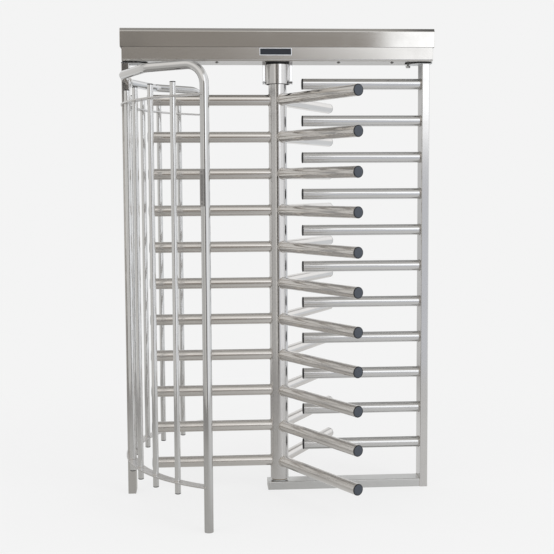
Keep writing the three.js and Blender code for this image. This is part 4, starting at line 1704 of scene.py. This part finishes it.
@dataclass
class Collar:
    """The clamped sleeve round the shaft under the header, in two halves with side flanges."""

    shop: Workshop
    body: str = "frame"
    wall: float = 0.003
    edge: float = 0.0007
    lip: float = 0.0085
    lip_sink: float = 0.0002
    flange_lean: float = 0.0011
    # A black ring inside the sleeve's top: painted shade in the gap under the header.
    gap_shade_width: float = 0.006
    gap_shade_depth: float = 0.012
    gap_shade_clearance: float = 0.0003
    gap_shade_sides: int = 72
    bolt: Fastener = Fastener(Head.SOCKET, 0.0048, 0.0045, 0.006)
    nut: Fastener = Fastener(Head.HEX, 0.0052, 0.0045, 0.006)
    bolt_rise: float = 0.009
    steps: int = 40

    def __post_init__(self) -> None:
        """Reads the sizes that the frame fixes."""
        self.box = Extent.of("collar_front")
        self.radius = -self.box.low.y
        self.reach = self.box.high.x
        self.split = -self.box.high.y

    def half(self, node: str, side: int) -> None:
        """Draws one half.

        Args:
            node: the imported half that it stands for.
            side: -1 for the front half and 1 for the rear one.
        """
        foot, top = self.box.low.z, self.box.high.z - self.lip
        start = math.asin(self.wall / self.radius)
        inner = self.radius - self.wall
        outer_arc = [start + (math.pi - 2 * start) * k / self.steps for k in range(self.steps + 1)]
        inner_start = math.asin(self.split / inner)
        inner_arc = [
            math.pi - inner_start - (math.pi - 2 * inner_start) * k / self.steps
            for k in range(self.steps + 1)
        ]
        outline = [(self.reach, self.split), (self.reach, self.wall - self.flange_lean)]
        outline += [(self.radius * math.cos(a), self.radius * math.sin(a)) for a in outer_arc]
        outline += [(-self.reach, self.wall + self.flange_lean), (-self.reach, self.split)]
        outline += [(inner * math.cos(a), inner * math.sin(a)) for a in inner_arc]
        shape = Shape().prism([(x, y * side) for x, y in outline], foot, top)
        for x0, x1 in ((-self.reach, -inner), (inner, self.reach)):
            y0, y1 = sorted((self.split * side, self.wall * side))
            shape.block(Vector((x0, y0, top - self.lip_sink)), Vector((x1, y1, self.box.high.z)))
        made = round_edges(shape.make(f"{node}_shell"), self.edge, 2)
        self.shop.dress(made, self.shop.column)
        self.shop.mount(made, self.body, "brushed_frame", [node])

    def gap_shade_ring(self) -> None:
        """Draws a black ring in the gap between the sleeve and the header: painted shade for the dark seen through
        that gap.
        """
        outer = self.radius - self.wall - self.gap_shade_clearance
        inner, top = outer - self.gap_shade_width, self.box.high.z - self.gap_shade_clearance
        foot = top - self.gap_shade_depth
        section = [(inner, foot), (outer, foot), (outer, top), (inner, top)]
        ring = Shape().lathe(section, self.gap_shade_sides)
        made = self.shop.dress(ring.make("collar_seal"), self.shop.black_cap)
        self.shop.mount(made, self.body, "dark_plastic")

    def build(self) -> None:
        """Makes both halves, the black ring of painted shade in the gap, and the clamp bolts."""
        self.half("collar_front", -1)
        self.half("collar_rear", 1)
        self.gap_shade_ring()
        x = (self.radius + self.reach) / 2
        z = self.box.low.z + self.bolt_rise
        for name, side, material in (
            ("left_collar_bolt", -1, self.shop.zinc), ("right_collar_bolt", 1, self.shop.dark_bolt),
        ):
            spots = [Vector((x * side, -self.wall, z))]
            bolts = self.shop.fasteners(name, self.bolt, spots, TO_FRONT, material, seed=11)
            self.shop.mount(bolts, self.body, "mechanism_steel")
        spots = [Vector((x * side, self.wall, z)) for side in (-1, 1)]
        nuts = self.shop.fasteners("collar_nuts", self.nut, spots, TO_REAR, self.shop.zinc, seed=12)
        self.shop.mount(nuts, self.body, "mechanism_steel")


@dataclass
class Reader:
    """The narrow dark reader that hugs the front leg."""

    shop: Workshop
    cage: Cage
    body: str = "frame"
    cut_steps: int = 12
    case_edge: float = 0.004
    lens_side: float = 0.0035
    lens_end: float = 0.022
    lens_proud: float = 0.0006
    lens_sink: float = 0.001
    lens_edge: float = 0.0004
    screw: Fastener = Fastener(Head.PAN, 0.0028, 0.0014)
    screw_end: float = 0.011

    def build(self) -> None:
        """Draws the housing, cut round the leg, with its lens and screws."""
        box = Extent.of("reader_box")
        leg, reach = self.cage.leg, self.cage.leg_radius + self.cage.fit
        right_y = leg.y - math.sqrt(reach**2 - (box.high.x - leg.x)**2)
        back_x = leg.x - math.sqrt(reach**2 - (box.high.y - leg.y)**2)
        start = math.atan2(right_y - leg.y, box.high.x - leg.x)
        end = math.atan2(box.high.y - leg.y, back_x - leg.x)
        turns = [start + (end - start) * k / self.cut_steps for k in range(self.cut_steps + 1)]
        outline = [(box.low.x, box.low.y), (box.high.x, box.low.y)]
        outline += [(leg.x + reach * math.cos(t), leg.y + reach * math.sin(t)) for t in turns]
        outline.append((box.low.x, box.high.y))
        housing = Shape().prism(outline, box.low.z, box.high.z).make("reader_housing")
        self.shop.dress(round_edges(housing, self.case_edge), self.shop.reader)
        self.shop.mount(housing, self.body, "dark_plastic", ["reader_box"])
        front, foot, top = box.low.y, box.low.z, box.high.z
        low = Vector((box.low.x + self.lens_side, front - self.lens_proud, foot + self.lens_end))
        high = Vector((box.high.x - self.lens_side, front + self.lens_sink, top - self.lens_end))
        lens = round_edges(Shape().block(low, high).make("reader_lens"), self.lens_edge, 2)
        self.shop.mount(self.shop.dress(lens, self.shop.lens), self.body, "dark_plastic")
        heights = (foot + self.screw_end, top - self.screw_end)
        spots = [Vector((box.centre.x, front, z)) for z in heights]
        dark = self.shop.dark_bolt
        heads = self.shop.fasteners("reader_screws", self.screw, spots, TO_FRONT, dark, seed=5)
        self.shop.mount(heads, self.body, "mechanism_steel")


@dataclass
class Mechanism:
    """The works in the header and the foot pivot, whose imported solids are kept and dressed."""

    shop: Workshop

    def build(self) -> None:
        """Gives each kept node its finish."""
        zinc = ["head_plate", "top_bearing", "entry_solenoid", "exit_solenoid", "pivot_pin"]
        ground = [
            "drive_shaft", "index_cam", "shaft_gear", "centring_lever", "entry_pawl", "exit_pawl",
            "damper_pinion",
        ]
        dark = ["damper_body", "control_box"]
        groups = (
            (zinc, self.shop.zinc), (ground, self.shop.ground), (dark, self.shop.dark_plastic),
            (["foot_bush"], self.shop.bronze),
        )
        for names, material in groups:
            for name in names:
                for place in frame["nodes"][name].material_slots:
                    place.material = material
                LOG.info("%s kept with %s", name, material.name)


@dataclass(frozen=True)
class StudioCard:
    """A soft-edged patch of the studio that metal mirrors.

    Angles are in degrees. The way round is 0 towards the front and grows towards +X, and the rise is 0
    at the horizon. A mirrored card lies at the same angles on both sides.
    """

    colour: Colour
    round_from: float
    round_to: float
    rise_from: float
    rise_to: float
    round_edge: float = 3.0
    rise_edge: float = 4.0
    mirrored: bool = False


@dataclass
class Studio:
    """The camera, the pale floor, the soft lamps and what metal mirrors."""

    pale: float = 0.904
    fill: float = 0.95
    camera_place: tuple[float, float, float] = (-0.34492, -4.79478, 1.43553)
    camera_yaw: float = -3.72
    camera_pitch: float = 4.51
    camera_roll: float = -0.34
    image_size: int = 554
    focal_pixels: float = 1024.05
    centre_x: float = 271.48
    centre_y: float = 267.28
    sensor_width: float = 36.0
    far_clip: float = 100.0
    floor_radius: float = 3.2
    floor_sides: int = 96
    floor_drop: float = 0.0008
    floor_grey: float = 0.86
    side_blend: float = 0.7
    deep_range: Flat = (1.2, 2.1)
    shadow_range: Flat = (0.45, 0.9)
    shadow_share: float = 0.16
    lamp_size: float = 2.4
    lamp_aim: tuple[float, float, float] = (0, 0, 1.1)
    hung: tuple[tuple[str, tuple[float, float, float], float], ...] = (
        ("key_lamp", (3.2, -3.4, 3.6), 60.0),
        ("fill_lamp", (-3.6, -3.0, 2.6), 25.0),
    )
    surround: Colour = (0.66, 0.65, 0.63)
    floor_left: Colour = (0.47, 0.46, 0.44)
    floor_right: Colour = (0.74, 0.74, 0.74)
    floor_below: Colour = (0.36, 0.35, 0.34)
    cards: list[StudioCard] = field(default_factory=lambda: [
        # Wide walls and the ceiling.
        StudioCard((0.62, 0.61, 0.594), -180, 0, -90, 15),
        StudioCard((0.7, 0.69, 0.674), -180, 0, 0, 15),
        StudioCard((1.03, 1.005, 0.975), -180, 6, 13, 52),
        StudioCard((0.7, 0.69, 0.67), -180, 180, 52, 90),
        StudioCard((0.42, 0.41, 0.4), -180, 180, 76, 90),
        StudioCard((0.1, 0.1, 0.1), 47, 130, 66, 90),
        # The light right side.
        StudioCard((0.75, 0.772, 0.83), 2, 17, -90, 3),
        StudioCard((1.12, 1.13, 1.15), 17, 72, -90, 3),
        StudioCard((1.0, 1.01, 1.03), 72, 180, -90, 3),
        StudioCard((1.12, 1.13, 1.15), 28, 180, 3, 44),
        StudioCard((0.8, 0.83, 0.87), 108, 160, -50, 4, round_edge=4.0, rise_edge=6.0),
        StudioCard((0.78, 0.77, 0.752), -156, -100, -45, 45, round_edge=4.0, rise_edge=5.0),
        StudioCard((1.6, 1.62, 1.66), 4, 32, 9, 38, round_edge=2.0),
        StudioCard((1.8, 1.84, 1.9), 10.0, 32, 2.5, 12, round_edge=0.6, rise_edge=2.0),
        # Narrow lines on the round tubes and on the header's front.
        StudioCard((0.95, 0.93, 0.9), -36, -18, -22, 12, round_edge=2.0),
        StudioCard((0.31, 0.28, 0.25), -6, 4.5, -18, 6, round_edge=1.0, rise_edge=2.0),
        StudioCard((0.05, 0.045, 0.04), -19, -4.5, -22, 8, round_edge=1.2, rise_edge=2.0),
        StudioCard((1.0, 0.98, 0.95), -5.6, -3.6, -30, 4.4, round_edge=0.5, rise_edge=0.5),
        StudioCard((0.55, 0.54, 0.52), -5.6, -3.6, -90, -7, round_edge=0.5, rise_edge=5.0),
        StudioCard((0.37, 0.345, 0.32), -24, 10.0, 6.0, 14, round_edge=0.6, rise_edge=0.9),
        StudioCard((1.5, 1.52, 1.56), 6.5, 32, 9.2, 15, round_edge=6.5, rise_edge=0.3),
        StudioCard((0.03, 0.03, 0.03), -9, -3, 4.8, 7.2, round_edge=0.6, rise_edge=0.4),
        StudioCard((0.6, 0.62, 0.66), 71, 77, -28, 60, round_edge=1.0),
        # Behind the part, for undersides and side faces.
        StudioCard((0.3, 0.3, 0.3), 140, 180, 26, 62, mirrored=True),
        StudioCard((0.9, 0.9, 0.9), 150, 180, -20, 22, mirrored=True),
        StudioCard((0.54, 0.54, 0.54), 150, 180, -9.5, -4, rise_edge=1.0, mirrored=True),
        StudioCard((0.62, 0.62, 0.62), -180, -158, -30, 6, rise_edge=2.0),
        StudioCard((0.28, 0.28, 0.28), -180, -158, 5.5, 9, rise_edge=1.0),
    ])

    def camera(self) -> None:
        """Sets the camera as it was fitted to the photograph."""
        yaw, pitch = math.radians(self.camera_yaw), math.radians(self.camera_pitch)
        roll = math.radians(self.camera_roll)
        ahead = Vector((
            math.sin(-yaw) * math.cos(pitch), math.cos(yaw) * math.cos(pitch), -math.sin(pitch),
        ))
        level = Vector((math.cos(yaw), -math.sin(-yaw), 0))
        upward = level.cross(ahead)
        right = level * math.cos(roll) + upward * math.sin(roll)
        up = upward * math.cos(roll) - level * math.sin(roll)
        data = bpy.data.cameras.new("photo_camera")
        data.sensor_width = self.sensor_width
        data.lens = self.focal_pixels / self.image_size * data.sensor_width
        data.shift_x = (self.image_size / 2 - self.centre_x) / self.image_size
        data.shift_y = (self.centre_y - self.image_size / 2) / self.image_size
        data.clip_end = self.far_clip
        camera = bpy.data.objects.new("photo_camera", data)
        turn = Matrix((right, up, -ahead)).transposed().to_4x4()
        camera.matrix_world = Matrix.Translation(self.camera_place) @ turn
        bpy.context.scene.collection.objects.link(camera)
        bpy.context.scene.camera = camera

    def floor(self) -> None:
        """Lays a pale floor that keeps a soft shadow near the part and ends in the background."""
        material = bpy.data.materials.new("pale_floor")
        material.use_nodes = True
        board = NodeBoard(material.node_tree)
        path = board.add("ShaderNodeLightPath").outputs
        seen = board.math("MAXIMUM", path["Is Camera Ray"], path["Is Transmission Ray"])
        seen = board.math("MAXIMUM", seen, path["Is Glossy Ray"])
        points = board.add("ShaderNodeTexCoord").outputs["Object"]
        away = board.add("ShaderNodeVectorMath", {0: points}, operation="LENGTH").outputs["Value"]
        start, end = (share * self.floor_radius for share in self.shadow_range)
        near = board.math("SUBTRACT", 1, board.fade(away, start, end))
        shadow = board.math("MULTIPLY", near, self.shadow_share)
        glowing = board.math("MULTIPLY", seen, board.math("SUBTRACT", 1, shadow))
        keep = board.math("SUBTRACT", 1, glowing)
        across = board.add("ShaderNodeSeparateXYZ", {0: points}).outputs["X"]
        side = board.fade(across, -self.side_blend, self.side_blend)
        mirrored = board.blend(side, rgba(self.floor_left), rgba(self.floor_right))
        far = board.fade(path["Ray Length"], *self.deep_range)
        deep = board.math("MULTIPLY", far, board.math("SUBTRACT", 1, side))
        mirrored = board.blend(deep, mirrored, rgba(self.floor_below))
        tone = board.blend(path["Is Glossy Ray"], rgba((self.pale,) * 3), mirrored)
        glow = board.add("ShaderNodeEmission", {"Color": tone}).outputs[0]
        grey = rgba((self.floor_grey,) * 3)
        matt = board.add("ShaderNodeBsdfDiffuse", {"Color": grey}).outputs[0]
        mixed = board.add("ShaderNodeMixShader", {0: keep, 1: glow, 2: matt}).outputs[0]
        board.add("ShaderNodeOutputMaterial", {"Surface": mixed})
        shape = Shape()
        middle = DOWN * self.floor_drop
        corners = circle(middle, self.floor_radius, TO_RIGHT, TO_REAR, self.floor_sides)
        shape.face((shape.point(corner), (0.0, 0.0)) for corner in corners)
        floor = shape.make("floor")
        floor.data.materials.append(material)

    def surroundings(self) -> None:
        """Sets what surrounds the part: pale to the camera, plain to matt faces, cards to metal."""
        world = bpy.data.worlds.new("studio")
        world.use_nodes = True
        bpy.context.scene.world = world
        board = NodeBoard(world.node_tree)
        way = board.add("ShaderNodeTexCoord").outputs["Generated"]
        axes = board.add("ShaderNodeSeparateXYZ", {0: way}).outputs
        turn = board.math("ARCTAN2", axes["X"], board.math("MULTIPLY", axes["Y"], -1))
        turn = board.math("DEGREES", turn)
        rise = board.math("DEGREES", board.math("ARCSINE", axes["Z"]))
        mirrored = board.math("ABSOLUTE", turn)
        colour: object = rgba(self.surround)
        for card in self.cards:
            mask = self.patch(board, mirrored if card.mirrored else turn, rise, card)
            colour = board.blend(mask, colour, rgba(card.colour))
        path = board.add("ShaderNodeLightPath").outputs
        seen = board.math("MAXIMUM", path["Is Camera Ray"], path["Is Transmission Ray"])
        plain = board.blend(seen, rgba((self.fill,) * 3), rgba((self.pale,) * 3))
        shown = board.blend(path["Is Glossy Ray"], plain, colour)
        glow = board.add("ShaderNodeBackground", {"Color": shown}).outputs[0]
        board.add("ShaderNodeOutputWorld", {"Surface": glow})

    @staticmethod
    def patch(
        board: NodeBoard, turn: bpy.types.NodeSocket, rise: bpy.types.NodeSocket, card: StudioCard,
    ) -> bpy.types.NodeSocket:
        """The mask of one card.

        Args:
            board: the world's node board.
            turn: the way round, in degrees.
            rise: the rise, in degrees.
            card: the card.

        Returns:
            A socket that is 1 on the card and 0 off it.
        """
        spans = (
            (turn, card.round_from, card.round_to, card.round_edge, 180.0),
            (rise, card.rise_from, card.rise_to, card.rise_edge, 90.0),
        )
        mask: object = 1.0
        for value, low, high, edge, limit in spans:
            if low > -limit:
                mask = board.math("MULTIPLY", mask, board.fade(value, low - edge, low + edge))
            if high < limit:
                end = board.math("SUBTRACT", 1, board.fade(value, high - edge, high + edge))
                mask = board.math("MULTIPLY", mask, end)
        return mask

    def lamps(self) -> None:
        """Hangs two large soft lamps that shape the matt faces."""
        for name, place, power in self.hung:
            data = bpy.data.lights.new(name, "AREA")
            data.shape = "DISK"
            data.size = self.lamp_size
            data.energy = power
            lamp = bpy.data.objects.new(name, data)
            aim = (Vector(self.lamp_aim) - Vector(place)).to_track_quat("-Z", "Y")
            lamp.matrix_world = Matrix.Translation(place) @ aim.to_matrix().to_4x4()
            lamp.visible_glossy = False
            bpy.context.scene.collection.objects.link(lamp)

    def build(self) -> None:
        """Sets the camera, the floor and the light."""
        self.camera()
        self.floor()
        self.surroundings()
        self.lamps()
        bpy.context.scene.view_settings.view_transform = "Standard"


def main() -> None:
    """Builds the studio and every sub-assembly."""
    logging.basicConfig(level=logging.INFO, format="%(name)s: %(message)s")
    Studio().build()
    shop = Workshop()
    cage = Cage(shop)
    parts = [
        Rotor(shop), Comb(shop), cage, Standing(shop), Header(shop), Collar(shop),
        Reader(shop, cage), Mechanism(shop),
    ]
    for part in parts:
        LOG.info("building %s", type(part).__name__)
        part.build()


if __name__ == "__main__":
    main()
